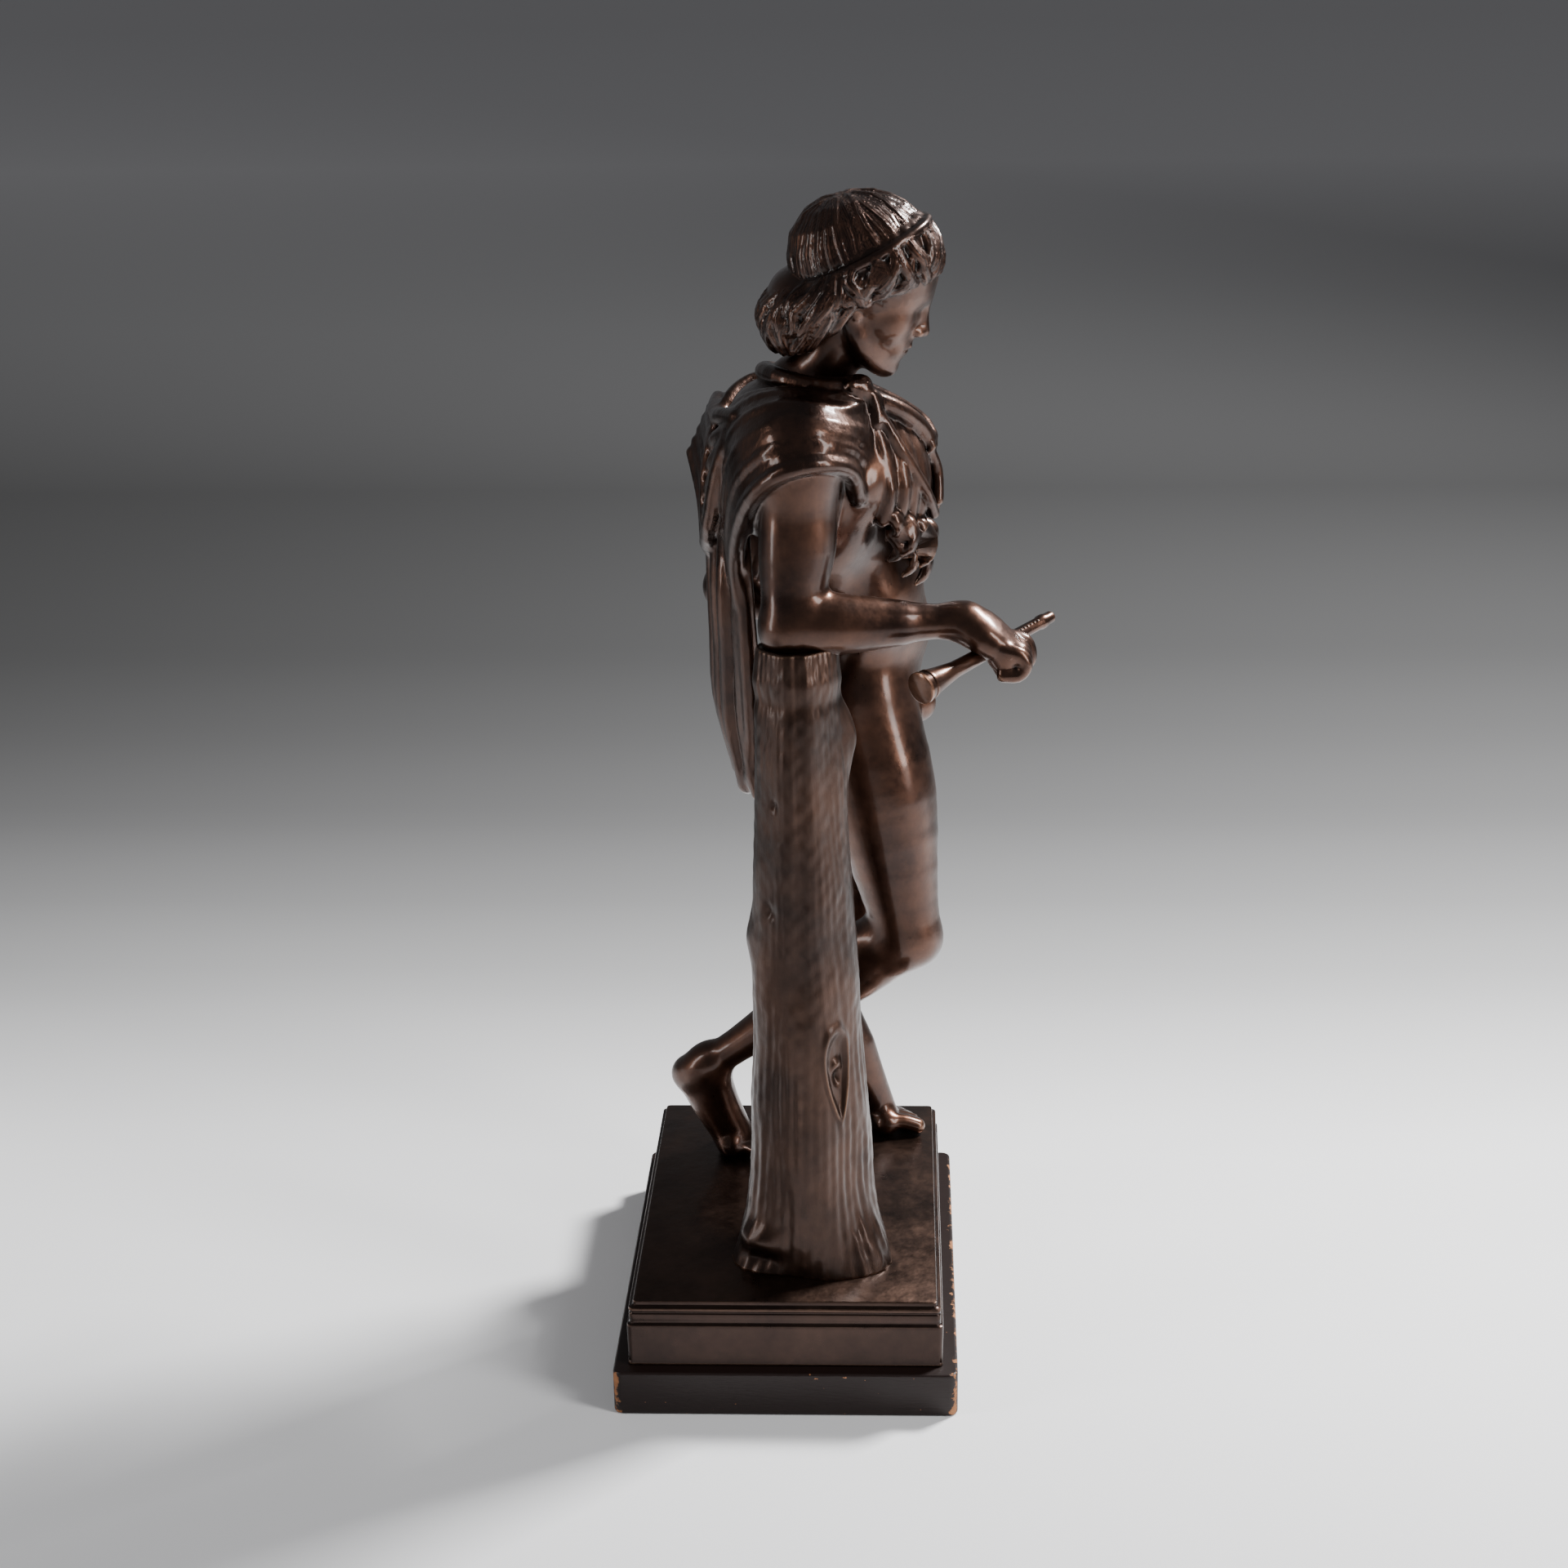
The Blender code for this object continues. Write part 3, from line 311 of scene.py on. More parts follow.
# %% Torso
def torso(c):
    # rib cage, waist and pelvis
    c.egg(CHEST, (49, 36, 58), turn=(8, -6, 0), soft=10)
    c.egg(off(CHEST, 2, 4, 22), (55, 33, 32), turn=(0, -6, 0), soft=20)
    c.egg(WAIST, (42, 31, 45), turn=(0, 18, 0), soft=20)
    c.egg(PELVIS, (48, 33, 34), turn=(-8, 10, 0), soft=20)
    # abdomen and lower belly
    c.egg(off(WAIST, 4, -8, 4), (26, 20, 42), turn=(4, 18, 0), soft=12)
    c.egg(off(PELVIS, -8, -19, 22), (30, 20, 24), turn=(0, 12, 0), soft=12)
    # chest muscles, shoulder blades and broad back
    for side in (-1, 1):
        c.egg(off(CHEST, side * 23, -26, 12), (26, 12, 22), turn=(14, -6, side * 14), soft=8)
        c.egg(off(CHEST, side * 28, 20, 12), (22, 14, 32), soft=12)
    # buttocks
    c.egg(off(HIP_R, 0, 22, -4), (26, 26, 30), soft=12)
    c.egg(off(HIP_L, -4, 24, -2), (27, 28, 32), soft=12)
    # trapezius and collar
    for s in (SHOULDER_R, SHOULDER_L):
        c.path([off(NECK, 0, 6, 12), lerp(NECK, s, 0.55), off(s, 0, 3, 6)], [14, 15, 13], soft=14)
    # neck
    c.path([off(NECK, 0, 4, -16), off(NECK, -1, -2, 10), SKULL, off(SKULL, 0, -2, 18)], [21, 17.5, 16.5, 18],
           soft=10)
    c.egg((52, -78, 294), (7.5, 8, 10), soft=5)


# %% Arms
def right_arm(c):
    s, e, w = SHOULDER_R, ELBOW_R, WRIST_R
    c.egg(off(s, -4, 0, -6), (20, 22.5, 27), soft=12)
    c.path([s, lerp(s, e, 0.35), lerp(s, e, 0.7), e], [20, 19, 16.8, 15], soft=10)
    # biceps and triceps
    c.path([off(lerp(s, e, 0.25), 0, -7), off(lerp(s, e, 0.55), 0, -7), off(lerp(s, e, 0.85), 0, -3)],
           [11, 13.5, 9], soft=8)
    c.path([off(lerp(s, e, 0.3), 0, 6), off(lerp(s, e, 0.6), 0, 6), off(e, 0, 6, 6)], [11, 12, 8], soft=8)
    c.egg(off(e, 0, 6, -4), (11.5, 10.5, 12.5), soft=6)
    c.path([e, lerp(e, w, 0.25), lerp(e, w, 0.55), lerp(e, w, 0.85), w], [16.5, 16, 12.5, 9.2, 8.5], soft=8)
    c.path([off(lerp(e, w, 0.05), -3, 0, 3), off(lerp(e, w, 0.3), -4, 0, 1), off(lerp(e, w, 0.6), -3, 0)],
           [10, 12.5, 9], soft=8)


def left_arm(c):
    s, e, w = SHOULDER_L, ELBOW_L, WRIST_L
    c.egg(off(s, 4, 2, -6), (20, 21.5, 26), soft=12)
    c.path([s, lerp(s, e, 0.35), lerp(s, e, 0.7), e], [19.5, 18, 15.5, 13.5], soft=10)
    c.path([lerp(s, e, 0.25), off(lerp(s, e, 0.55), 3, -6), lerp(s, e, 0.85)], [13, 14, 9], soft=8)
    c.egg(off(e, 2, 5, -3), (11, 10.5, 12), soft=6)
    c.path([e, lerp(e, w, 0.3), lerp(e, w, 0.7), w], [13.5, 14, 10.5, 8.8], soft=8)
    # the back of the hand on the hip
    c.egg(off(w, -9, -6, -12), (9, 15, 16), turn=(20, 20, 10), soft=6)
    for k in range(4):
        a = off(w, -10, -4 - 7 * k + 8, -20)
        c.path([a, off(a, -6, 4, -10), off(a, -10, 10, -12)], [4.4, 4.2, 3.6], soft=2)


# %% Legs and feet
def right_leg(c):
    h, k, a = HIP_R, KNEE_R, ANKLE_R
    c.path([h, lerp(h, k, 0.35), lerp(h, k, 0.7), k], [34, 30.5, 23.5, 18], soft=14)
    c.path([off(lerp(h, k, 0.05), -4, -8), off(lerp(h, k, 0.4), -4, -8), off(lerp(h, k, 0.85), -2, -4)],
           [20, 25, 14], soft=12)
    # knee cap
    c.egg(off(k, 0, -6.5), (12.5, 11.5, 14.5), turn=(-20, 0, 0), soft=6)
    c.path([k, lerp(k, a, 0.25), lerp(k, a, 0.55), lerp(k, a, 0.85), a], [17.5, 18.5, 15, 10.5, 11], soft=10)
    c.path([off(lerp(k, a, 0.08), 0, 6, 7), off(lerp(k, a, 0.32), 0, 8, 9), off(lerp(k, a, 0.6), 0, 4, 4)],
           [12, 15.5, 9], soft=8)
    right_foot(c)


def right_foot(c):
    a = ANKLE_R
    heel = off(a, 5, 12.5, -9)
    ball = (60, 40, 8.5)
    c.path([a, off(a, 0, 8, -4), heel], [11, 11, 10], soft=6)
    c.path([heel, lerp(heel, ball, 0.5), ball], [10, 10.5, 9.5], soft=6)
    c.path([a, lerp(a, ball, 0.5), off(ball, 0, -4, 4)], [11, 11.2, 9.5], soft=8)
    c.path([off(ball, -9, 0, -1), off(ball, 10, 1, -1)], [7.5, 7.5], soft=6)
    toe_fan(c, ball, (0.10, -1, 0), 21, left=False)


def left_leg(c):
    h, k, a = HIP_L, KNEE_L, ANKLE_L
    c.path([h, lerp(h, k, 0.35), lerp(h, k, 0.7), k], [35, 30.5, 24, 18.5], soft=14)
    c.path([off(lerp(h, k, 0.05), 0, -10), off(lerp(h, k, 0.4), 3, -7), off(lerp(h, k, 0.85), 0, -3)],
           [21, 24, 14], soft=12)
    c.egg(off(k, 0, -9, 2), (12.5, 10, 14.5), soft=6)
    c.path([k, lerp(k, a, 0.25), lerp(k, a, 0.55), lerp(k, a, 0.85), a], [18, 19, 15.5, 11, 11.5], soft=10)
    c.path([off(lerp(k, a, 0.08), 0, 8), off(lerp(k, a, 0.32), 0, 12), off(lerp(k, a, 0.62), 0, 5)],
           [12, 15.5, 9], soft=8)
    left_foot(c)


def left_foot(c):
    a = ANKLE_L
    heel = off(a, 0, 12, -12)
    ball = (91, -54.5, 7.5)
    c.path([a, heel], [11.5, 10], soft=6)
    c.path([heel, off(heel, 2, -30), ball], [10, 9.5, 7.5], soft=6)
    c.path([off(a, 0, -4, -2), lerp(a, ball, 0.5), ball], [11.5, 11.5, 7.5], soft=8)
    c.path([off(ball, -9.5, -2), off(ball, 10, 6, -1)], [7.5, 7], soft=6)
    toe_fan(c, ball, (0.08, -1, 0), 21, left=True)


def toe_fan(c, ball, forward, length, left):
    # the big toe is on the inner side of each foot
    f = np.array(forward, float)
    f /= np.linalg.norm(f)
    side = np.array([1, 0, 0]) if left else np.array([-1, 0, 0])
    for i in range(5):
        across = (-9.8, -3.5, 1.8, 6.4, 10.6)[i]
        size = (5.2, 4, 3.8, 3.5, 3.2)[i]
        reach = (1.0, 0.98, 0.88, 0.76, 0.62)[i] * length
        root = np.array(ball) + side * across
        root[2] = size + 3
        tip = root + f * reach
        tip[2] = size * 0.95
        mid = root + f * reach * 0.55
        mid[2] = size + 3
        c.path([root, mid, tip], [size, size * 0.92, size * 0.95], soft=2.2)


def head(c):
    # the head bows forward and leans a little to its side; sizes are in heads from here on
    bow, lean = radians(HEAD_BOW), radians(HEAD_LEAN)
    side, front = np.array([1, 0, 0]), np.array([0, -cos(bow), -sin(bow)])
    up = np.array([0, -sin(bow), cos(bow)])
    c.place(HEAD_AT, [side * cos(lean) + up * sin(lean), front, up * cos(lean) - side * sin(lean)], HEAD)
    # skull, face, jaw and chin
    c.egg((0, -0.07, 0.13), (0.345, 0.42, 0.36), soft=6)
    c.egg((0, 0.12, 0.1), (0.29, 0.27, 0.28), soft=6)
    c.egg((0, 0.13, -0.12), (0.245, 0.24, 0.27), soft=8)
    c.egg((0, 0.17, -0.31), (0.175, 0.19, 0.165), soft=8)
    c.egg((0, 0.31, -0.425), (0.08, 0.07, 0.062), soft=5)
    c.path([(-0.235, -0.02, -0.18), (-0.2, 0.11, -0.33), (0, 0.28, -0.44), (0.2, 0.11, -0.33),
            (0.235, -0.02, -0.18)], [0.05, 0.055, 0.06, 0.055, 0.05], soft=6)
    # brow and nose in one line, then the mound of the mouth
    c.path([(-0.22, 0.235, 0.065), (-0.11, 0.335, 0.075), (0, 0.35, 0.06), (0.11, 0.335, 0.075),
            (0.22, 0.235, 0.065)], [0.03, 0.038, 0.045, 0.038, 0.03], soft=5)
    c.path([(0, 0.345, 0.05), (0, 0.355, -0.05), (0, 0.37, -0.15)], [0.05, 0.055, 0.06], soft=5)
    c.path([(0, 0.38, 0.03), (0, 0.402, -0.05), (0, 0.437, -0.145)], [0.028, 0.032, 0.042])
    c.egg((0, 0.318, -0.275), (0.125, 0.07, 0.085), soft=6)
    for s in (-1, 1):
        c.egg((s * 0.046, 0.405, -0.158), (0.032, 0.04, 0.028), soft=2.5)
        c.egg((s * 0.155, 0.225, -0.13), (0.1, 0.1, 0.095), soft=10)
        # eye between its lids
        c.egg((s * 0.135, 0.4, -0.004), (0.082, 0.068, 0.046), cut=True)
        c.egg((s * 0.132, 0.268, -0.008), (0.07, 0.07, 0.06), soft=0.8)
        c.path([(s * 0.215, 0.27, -0.012), (s * 0.175, 0.322, 0.018), (s * 0.125, 0.34, 0.026),
                (s * 0.07, 0.325, 0)], [0.012, 0.016, 0.016, 0.012], soft=0.8)
        c.path([(s * 0.205, 0.275, -0.02), (s * 0.17, 0.316, -0.038), (s * 0.12, 0.328, -0.042),
                (s * 0.07, 0.318, -0.018)], [0.01, 0.013, 0.013, 0.01], soft=1.4)
        # ear
        c.path([(s * 0.27, 0.01, -0.16), (s * 0.285, -0.03, -0.11), (s * 0.315, -0.075, -0.02),
                (s * 0.315, -0.06, 0.045), (s * 0.3, -0.015, 0.055), (s * 0.285, 0.01, 0.015)],
               [0.03, 0.022, 0.021, 0.023, 0.021, 0.015], soft=1.2)
        c.egg((s * 0.265, -0.025, -0.05), (0.03, 0.055, 0.1))
        c.path([(s * 0.285, 0, -0.09), (s * 0.29, -0.035, -0.04), (s * 0.29, -0.02, 0.01)],
               [0.012, 0.016, 0.012], soft=1)
    # lips
    c.path([(-0.09, 0.338, -0.28), (-0.035, 0.388, -0.258), (0, 0.39, -0.264), (0.035, 0.388, -0.258),
            (0.09, 0.338, -0.28)], [0.01, 0.022, 0.022, 0.022, 0.01], soft=0.9)
    c.path([(-0.078, 0.338, -0.294), (0, 0.38, -0.312), (0.078, 0.338, -0.294)], [0.011, 0.028, 0.011],
           soft=0.9)
    c.path([(-0.09, 0.352, -0.284), (0, 0.416, -0.285), (0.09, 0.352, -0.284)], 0.008, soft=0.6, cut=True)
    hair(c)


def right_hand(c):
    w = WRIST_R
    # the hand slopes down from the wrist to a fist that holds the pipe
    c.path([off(w, 0, 4), (-51.5, -108, 368.5), (-51.5, -119, 360.5)], [9.5, 11.2, 9.5], soft=6)
    for side in (-9, 7.5):
        c.path([off(w, side * 0.4, -2), (-51.5 + side, -110, 366.5), (-51.5 + side, -122, 358.5)],
               [8, 8.8, 7], soft=6)
    for i in range(4):
        x = -64.5 + 8.3 * i
        ahead, size = 3 * (i == 3), (4.3, 4.8, 4.8, 4.7)[i]
        c.path([(x, -120.5 - ahead, 361.2), (x, -128.5 - ahead, 358.5), (x, -131.5 - ahead, 352.5),
                (x - 0.5, -127.5 - 2 * ahead, 347.5), (x - 1, -120 - 2 * ahead, 347.5)],
               [size, size * 1.05, size * 0.95, size * 0.9, size * 0.85], soft=1.6)
    c.egg((-52, -121, 355), (16, 10, 9))
    # thumb along the far side
    c.path([off(w, 7, -4, -5), (-39, -110, 360), (-35, -121, 356), (-38.5, -130, 353)], [7, 6.2, 5, 4.2])


def resampled(points, count):
    """As many points as asked, evenly along a smooth line through the given ones."""
    p, _ = smoothed(np.array(points), np.zeros(len(points)), 6)
    along = np.append(0, np.cumsum(np.linalg.norm(np.diff(p, axis=0), axis=1)))
    return np.stack([np.interp(np.linspace(0, along[-1], count), along, p[:, k]) for k in range(3)], 1)


# %% Cloak
def drape(c, lines, folds, radius, share=0.72, count=9):
    """A cloth of folds side by side, carried across from line to line."""
    lines = [resampled(line, count) for line in lines]
    for k in range(folds):
        at = k / (folds - 1) * (len(lines) - 1)
        i = min(int(at), len(lines) - 2)
        fold = lines[i] + (lines[i + 1] - lines[i]) * (at - i)
        c.path(fold, radius * (share if k % 2 else 1.0), soft=2.6)


CAPE = [[(-40, -43, 439), (-56, -39, 457), (-71, -25, 464), (-75.5, -7, 461.5), (-67, 8, 450),
         (-48, 18.5, 429), (-30, 23, 404), (-22, 21.5, 378)],
        [(-34, -44, 466), (-50, -40, 473), (-64, -24, 479), (-67, -6, 479), (-56, 11.5, 468), (-38, 23, 446),
         (-20, 27, 420), (-12, 26, 390)],
        [(-25, -44, 485), (-42, -34, 485), (-53, -18, 490), (-53, -2, 490), (-41, 15, 481), (-23, 26, 460),
         (-8, 30, 434), (-1, 29, 405)],
        [(-22, -42, 493), (-32, -26, 493), (-38, -10, 495.5), (-31, 7, 493), (-15, 19, 484), (-2, 28, 466),
         (8, 32.5, 444), (12, 31.5, 418)]]


def cloak(c):
    c.tag = SKIN
    # the hide over both shoulders, its rolled hems over the upper arms
    c.egg(off(SHOULDER_R, 6, 1, 3), (26.2, 28, 25.5), soft=4)
    c.egg((62, 16, 452), (28, 30, 26), turn=(0, 12, 0), soft=4)
    across = np.array(SHOULDER_L) + np.array(SHOULDER_R) * (1, -1, -1)
    other = [[(across[0] - x, 0.78 * y + across[1] - 4, z + across[2]) for x, y, z in line] for line in CAPE]
    for lines in (CAPE, other):
        drape(c, lines, 10, 4)
        c.path(lines[0], 4)
    c.egg((6, 4, 471), (48, 24, 22), soft=8)
    c.egg((-30, 8, 448), (26, 16, 36), turn=(0, -24, 0), soft=8)
    c.egg((50, 20, 442), (30, 20, 36), turn=(0, 24, 0), soft=8)
    # the collar round the neck, and the cowl folds behind it
    c.path([(-22, -40, 494.5), (-28, -20, 496), (-18, -1, 499), (4, 7.5, 498), (24, 2, 493.5), (33, -15, 487),
            (36, -36, 480)], 5.2)
    for k in range(6):
        drop = 10.5 * k
        c.path([(-28 + 2 * k, 22 + 2 * k, 480 - 0.6 * drop), (-6, 31 + 1.5 * k, 476 - 1.15 * drop),
                (18, 33.5 + 1.5 * k, 470 - 1.35 * drop), (44, 37 + 1.5 * k, 470 - drop),
                (62, 37 + 3 * k, 472 - 0.6 * drop)], [3.6, 4.6, 5, 4.6, 3.6])
    # the cloth in front of the armpit
    c.path([(-22, -40, 490), (-32, -46, 466), (-38, -46, 440)], [8, 8.5, 4], soft=4, normal=(0.5, 1, 0),
           flat=0.5)
    # the fall behind the back, in upright folds that spread and sway
    rng = np.random.default_rng(11)
    for i in range(12):
        t = i / 11
        x = -19 + 86 * t
        y = 24.5 + 11 * sin(pi * min(1, t * 1.6) / 2) + (3 if i % 2 else -2)
        low = 266 + 24 * t + rng.uniform(-4, 6)
        sway = [rng.uniform(-1.8, 1.8) for _ in range(6)]
        heights = np.linspace(456, low, 6)
        c.path([(x * (0.72 + 0.28 * min(1, k / 2)) + 6 * (1 - min(1, k / 2)) + sway[k] + 1 * k,
                 y - (3, 2, 0, 1, 2, 9)[k], z) for k, z in enumerate(heights)],
               [6.2, 6.2, 5.8, 6, 6.2, 5.2] if i % 2 else [5] * 6, soft=2.4)
    c.path([(-21, 20.5, 424), (-23.5, 19, 374), (-21.5, 16.5, 319), (-14, 16, 279)], [4, 5.2, 5.5, 5])
    c.path([(-14, 15.5, 274), (-4, 19.5, 266), (10, 22, 269), (34, 26, 279), (68, 27, 294)],
           [5.8, 6.4, 5.5, 5, 4.5])
    chest_skin(c)


def chest_skin(c):
    # the hide hangs over the breast in shallow folds from the collar
    for i in range(11):
        t = i / 10
        swell = sin(pi * min(1, 0.10 + t * 0.92))
        x = -30 + 78 * t
        low = 428 - 22 * sin(pi * (0.06 + 0.82 * t))
        c.path([(-20 + 56 * t, -41 - 4 * sin(pi * t), 492 - 12 * t),
                (0.5 * x - 10 + 30 * t, -47 - 22 * swell, 465), (x, -51 - 26.5 * swell, 440),
                (x + 1, -48 - 26.5 * swell, low)], [4.5, 5.2, 5.6 if i % 2 else 4.6, 4.2])
    # clasp, collar end and the two forelegs that cross the breast and end in paws
    c.egg((-23, -44, 494.5), (7.8, 7.2, 6.8), soft=2)
    c.path([(-29, -40, 496), (-24, -50, 490), (-26, -53, 476)], [4, 4.2, 3.4], soft=1.8)
    legs = (((-22, -50, 488), (-12, -64, 480), (1, -74.5, 469), (9, -79, 460)),
            ((40, -48, 479), (36, -64, 472), (26, -76, 465), (17, -80, 459)))
    for points in legs:
        c.path(points, [5.2, 5, 5.4, 6.2], soft=1.8)
        end = np.array(points[-1])
        for k in (-1, 0, 1):
            c.path([end + (3 * k, 0, 0), end + (3.6 * k, -3.5, -4), end + (3.6 * k, -1, -8.5)], [3, 2.6, 1.2],
                   soft=1)
    for points in (((-24, -52, 484), (-22, -66, 460), (-11, -79, 435), (0, -83.5, 420)),
                   ((10, -80, 456), (17, -85.5, 440), (14, -86, 424)),
                   ((38, -64, 466), (40, -80, 443), (30, -85, 424))):
        c.path(points, 3.4, soft=1.4)
    # leaf-like locks along the front edge and in two tiers along the lower one
    for tier in range(2):
        for i in range(9):
            t = (i + 0.5 * tier) / 8.5
            swell = sin(pi * min(1, 0.10 + t * 0.92))
            x = -28 + 74 * t
            top = 432 - 20 * sin(pi * (0.06 + 0.82 * t)) - 10 * tier
            y = -52.5 - 27.5 * swell + 3 * tier
            reach, bend = 16 + 5 * sin(2.6 * i), 4 * (-1) ** i
            c.path([(x, y + 2, top), (x + 0.3 * bend, y - 3, top - 0.40 * reach),
                    (x + bend, y - 2, top - 0.75 * reach), (x + 1.4 * bend, y + 3, top - 1.05 * reach)],
                   [4.6, 5.8, 4.6, 1.6], soft=1, normal=(0.25, 1, 0), flat=0.62)
    for i in range(5):
        z = 470 - 12 * i
        c.path([(40 + 1 * i, -64 - 3.5 * i, z), (43 + 1 * i, -72 - 3 * i, z - 6),
                (41 + 1 * i, -73 - 3 * i, z - 13)], [4.2, 4.6, 1.8], soft=1.2)


# %% [markdown]
# The hair is carved in locks. Above the fillet they are combed flat from the crown, and below
# it they wave. Each lock is a path on a shell between the fillet and the hem, and it keeps its
# own number, so that fine comb lines can be cut along it later.

# %% Hair
FILLET_TILT = radians(48)
SKULL_MIDDLE, SKULL_RADII = np.array((0, -0.055, 0.13)), np.array((0.385, 0.475, 0.4))
FILLET_MIDDLE = (0, -0.13, 0.13)
TUFTS, LOCKS_ROUND = 54, 30
CROWN = np.array((0, -0.32, 0.42))


def skull_point(start, toward, lift=1.0):
    """Where a line from start meets the hair's egg, in heads."""
    a, b = np.array(toward) / (SKULL_RADII * lift), (np.array(start) - SKULL_MIDDLE) / (SKULL_RADII * lift)
    t = (-(a @ b) + np.sqrt(max((a @ b) ** 2 - (a @ a) * (b @ b - 1), 0))) / (a @ a)
    return np.array(start) + t * np.array(toward)


def on_fillet(a, lift):
    """A point of the fillet's tilted ring, at angle a from the brow."""
    return skull_point(FILLET_MIDDLE, (sin(a), cos(a) * cos(FILLET_TILT), cos(a) * sin(FILLET_TILT)), lift)


def hair_shell(a, t, lift=0.0):
    """A point of the hair below the fillet: t runs from the fillet to the hem, a round the head."""
    front, back = max(0, cos(a)), max(0, -cos(a))
    ring = on_fillet(a, 1.0)
    hem = np.array((0.365 * sin(a), -0.06 + 0.4 * front - 0.33 * back,
                    -0.1 + 0.36 * front ** 0.8 - 0.44 * back ** 0.5))
    out = np.array((sin(a), cos(a), 0.25 * front - 0.1 * back))
    return ring + (hem - ring) * t + out * (4 * t * (1 - t) * (0.035 + 0.085 * back ** 1.3) + lift)


# %% Locks
def hair(c):
    c.tag = HAIR
    c.egg(SKULL_MIDDLE, SKULL_RADII * 0.975)
    c.egg((0, -0.36, -0.24), (0.3, 0.19, 0.2), soft=6)
    for a in np.linspace(0, 2 * pi, 32, endpoint=False):
        c.path([hair_shell(a, t, -0.036) for t in (0, 0.3, 0.6, 0.9)], 0.06)
    rng = np.random.default_rng(7)
    # flat tufts from the crown to the fillet
    for k in range(TUFTS):
        a = 2 * pi * (k + rng.uniform(-0.3, 0.3)) / TUFTS
        edge, lift = on_fillet(a, 0.985), rng.uniform(0.925, 0.96)
        line = [CROWN + (edge - CROWN) * t for t in np.linspace(0.06, 1.0, 7)]
        side = np.cross(edge - CROWN, (0, 0.3, 1.0))
        side /= np.linalg.norm(side)
        line = [q + side * 0.022 * sin(6 * t + k) for q, t in zip(line, np.linspace(0, 1, 7))]
        c.strand([skull_point(SKULL_MIDDLE, q - SKULL_MIDDLE, lift) for q in line],
                 [0.02, 0.034, 0.044, 0.048, 0.048, 0.046, 0.04], 0.8)
    # the fillet, a rounded band in a groove of the hair
    c.path([on_fillet(a, 1.075) for a in np.linspace(0, 2 * pi, 25)], 0.031, soft=0.4)
    # waved locks in rows, with curled ends
    for k in range(LOCKS_ROUND):
        middle = 2 * pi * k / LOCKS_ROUND
        top, half, hem = (hair_shell(middle, t) for t in (0, 0.5, 1))
        length = np.linalg.norm(hem - half) + np.linalg.norm(half - top)
        rows = max(2, round(length / 0.15))
        for row in range(rows):
            a0 = middle + (0.5 * (row % 2) + rng.uniform(-0.25, 0.25)) * 2 * pi / LOCKS_ROUND
            side = 1 if sin(a0) > 0 else -1
            start, span = (row - 0.15) / rows, (0.3 + 0.05 * rng.uniform()) / length
            sway, phase = rng.uniform(0.05, 0.1) * (-1) ** (k // 2), rng.uniform(0, 1.2)
            points = []
            for s in np.linspace(0, 1, 9):
                turn = sway * sin(5.2 * s + phase) + side * (0.1 * s + 0.22 * max(0, s - 0.6))
                t = start + span * (s - 0.9 * max(0, s - 0.72))
                points.append(hair_shell(a0 + turn, min(max(t, -0.02), 1.08),
                                         0.002 + 0.026 * sin(pi * min(1, 0.15 + 0.75 * s))))
            size = rng.uniform(0.036, 0.046)
            c.strand(points, [size * w for w in (0.75, 0.95, 1.0, 1.0, 1.0, 0.95, 0.85, 0.7, 0.5)], 0.7)

# %% [markdown]
# The forms become one skin at a fine step. A collapse then removes triangles where the
# bronze is smooth and keeps them where it is carved.

# %% Mesh helpers
def mesh_object(name, points, faces):
    """A mesh object from arrays of points and faces of equal length."""
    mesh = bpy.data.meshes.new(name)
    points, faces = np.asarray(points, np.float32), np.asarray(faces, np.int32)
    count, sides = faces.shape
    mesh.vertices.add(len(points))
    mesh.vertices.foreach_set("co", points.ravel())
    mesh.loops.add(count * sides)
    mesh.loops.foreach_set("vertex_index", faces.ravel())
    mesh.polygons.add(count)
    mesh.polygons.foreach_set("loop_start", np.arange(0, count * sides, sides, dtype=np.int32))
    mesh.polygons.foreach_set("loop_total", np.full(count, sides, np.int32))
    mesh.update(calc_edges=True)
    mesh.validate()
    mesh.shade_smooth()
    obj = bpy.data.objects.new(name, mesh)
    bpy.context.scene.collection.objects.link(obj)
    return obj


def applied(obj):
    """The object with its modifiers applied to its mesh."""
    bpy.context.view_layer.update()
    done = bpy.data.meshes.new_from_object(obj.evaluated_get(bpy.context.evaluated_depsgraph_get()))
    old = obj.data
    obj.modifiers.clear()
    obj.data = done
    bpy.data.meshes.remove(old)
    return obj


def triangles(obj):
    """How many triangles the object's faces make."""
    return sum(len(p.vertices) - 2 for p in obj.data.polygons)


def dress(obj, slot, node, *mats):
    """Gives a piece its materials and its body, and hides the solid that it stands for. The slot is not used.
    """
    obj.data.materials.clear()
    for mat in mats:
        obj.data.materials.append(mat)
    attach(obj, "root")
    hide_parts(node)
    print("%s: %d triangles" % (obj.name, triangles(obj)))


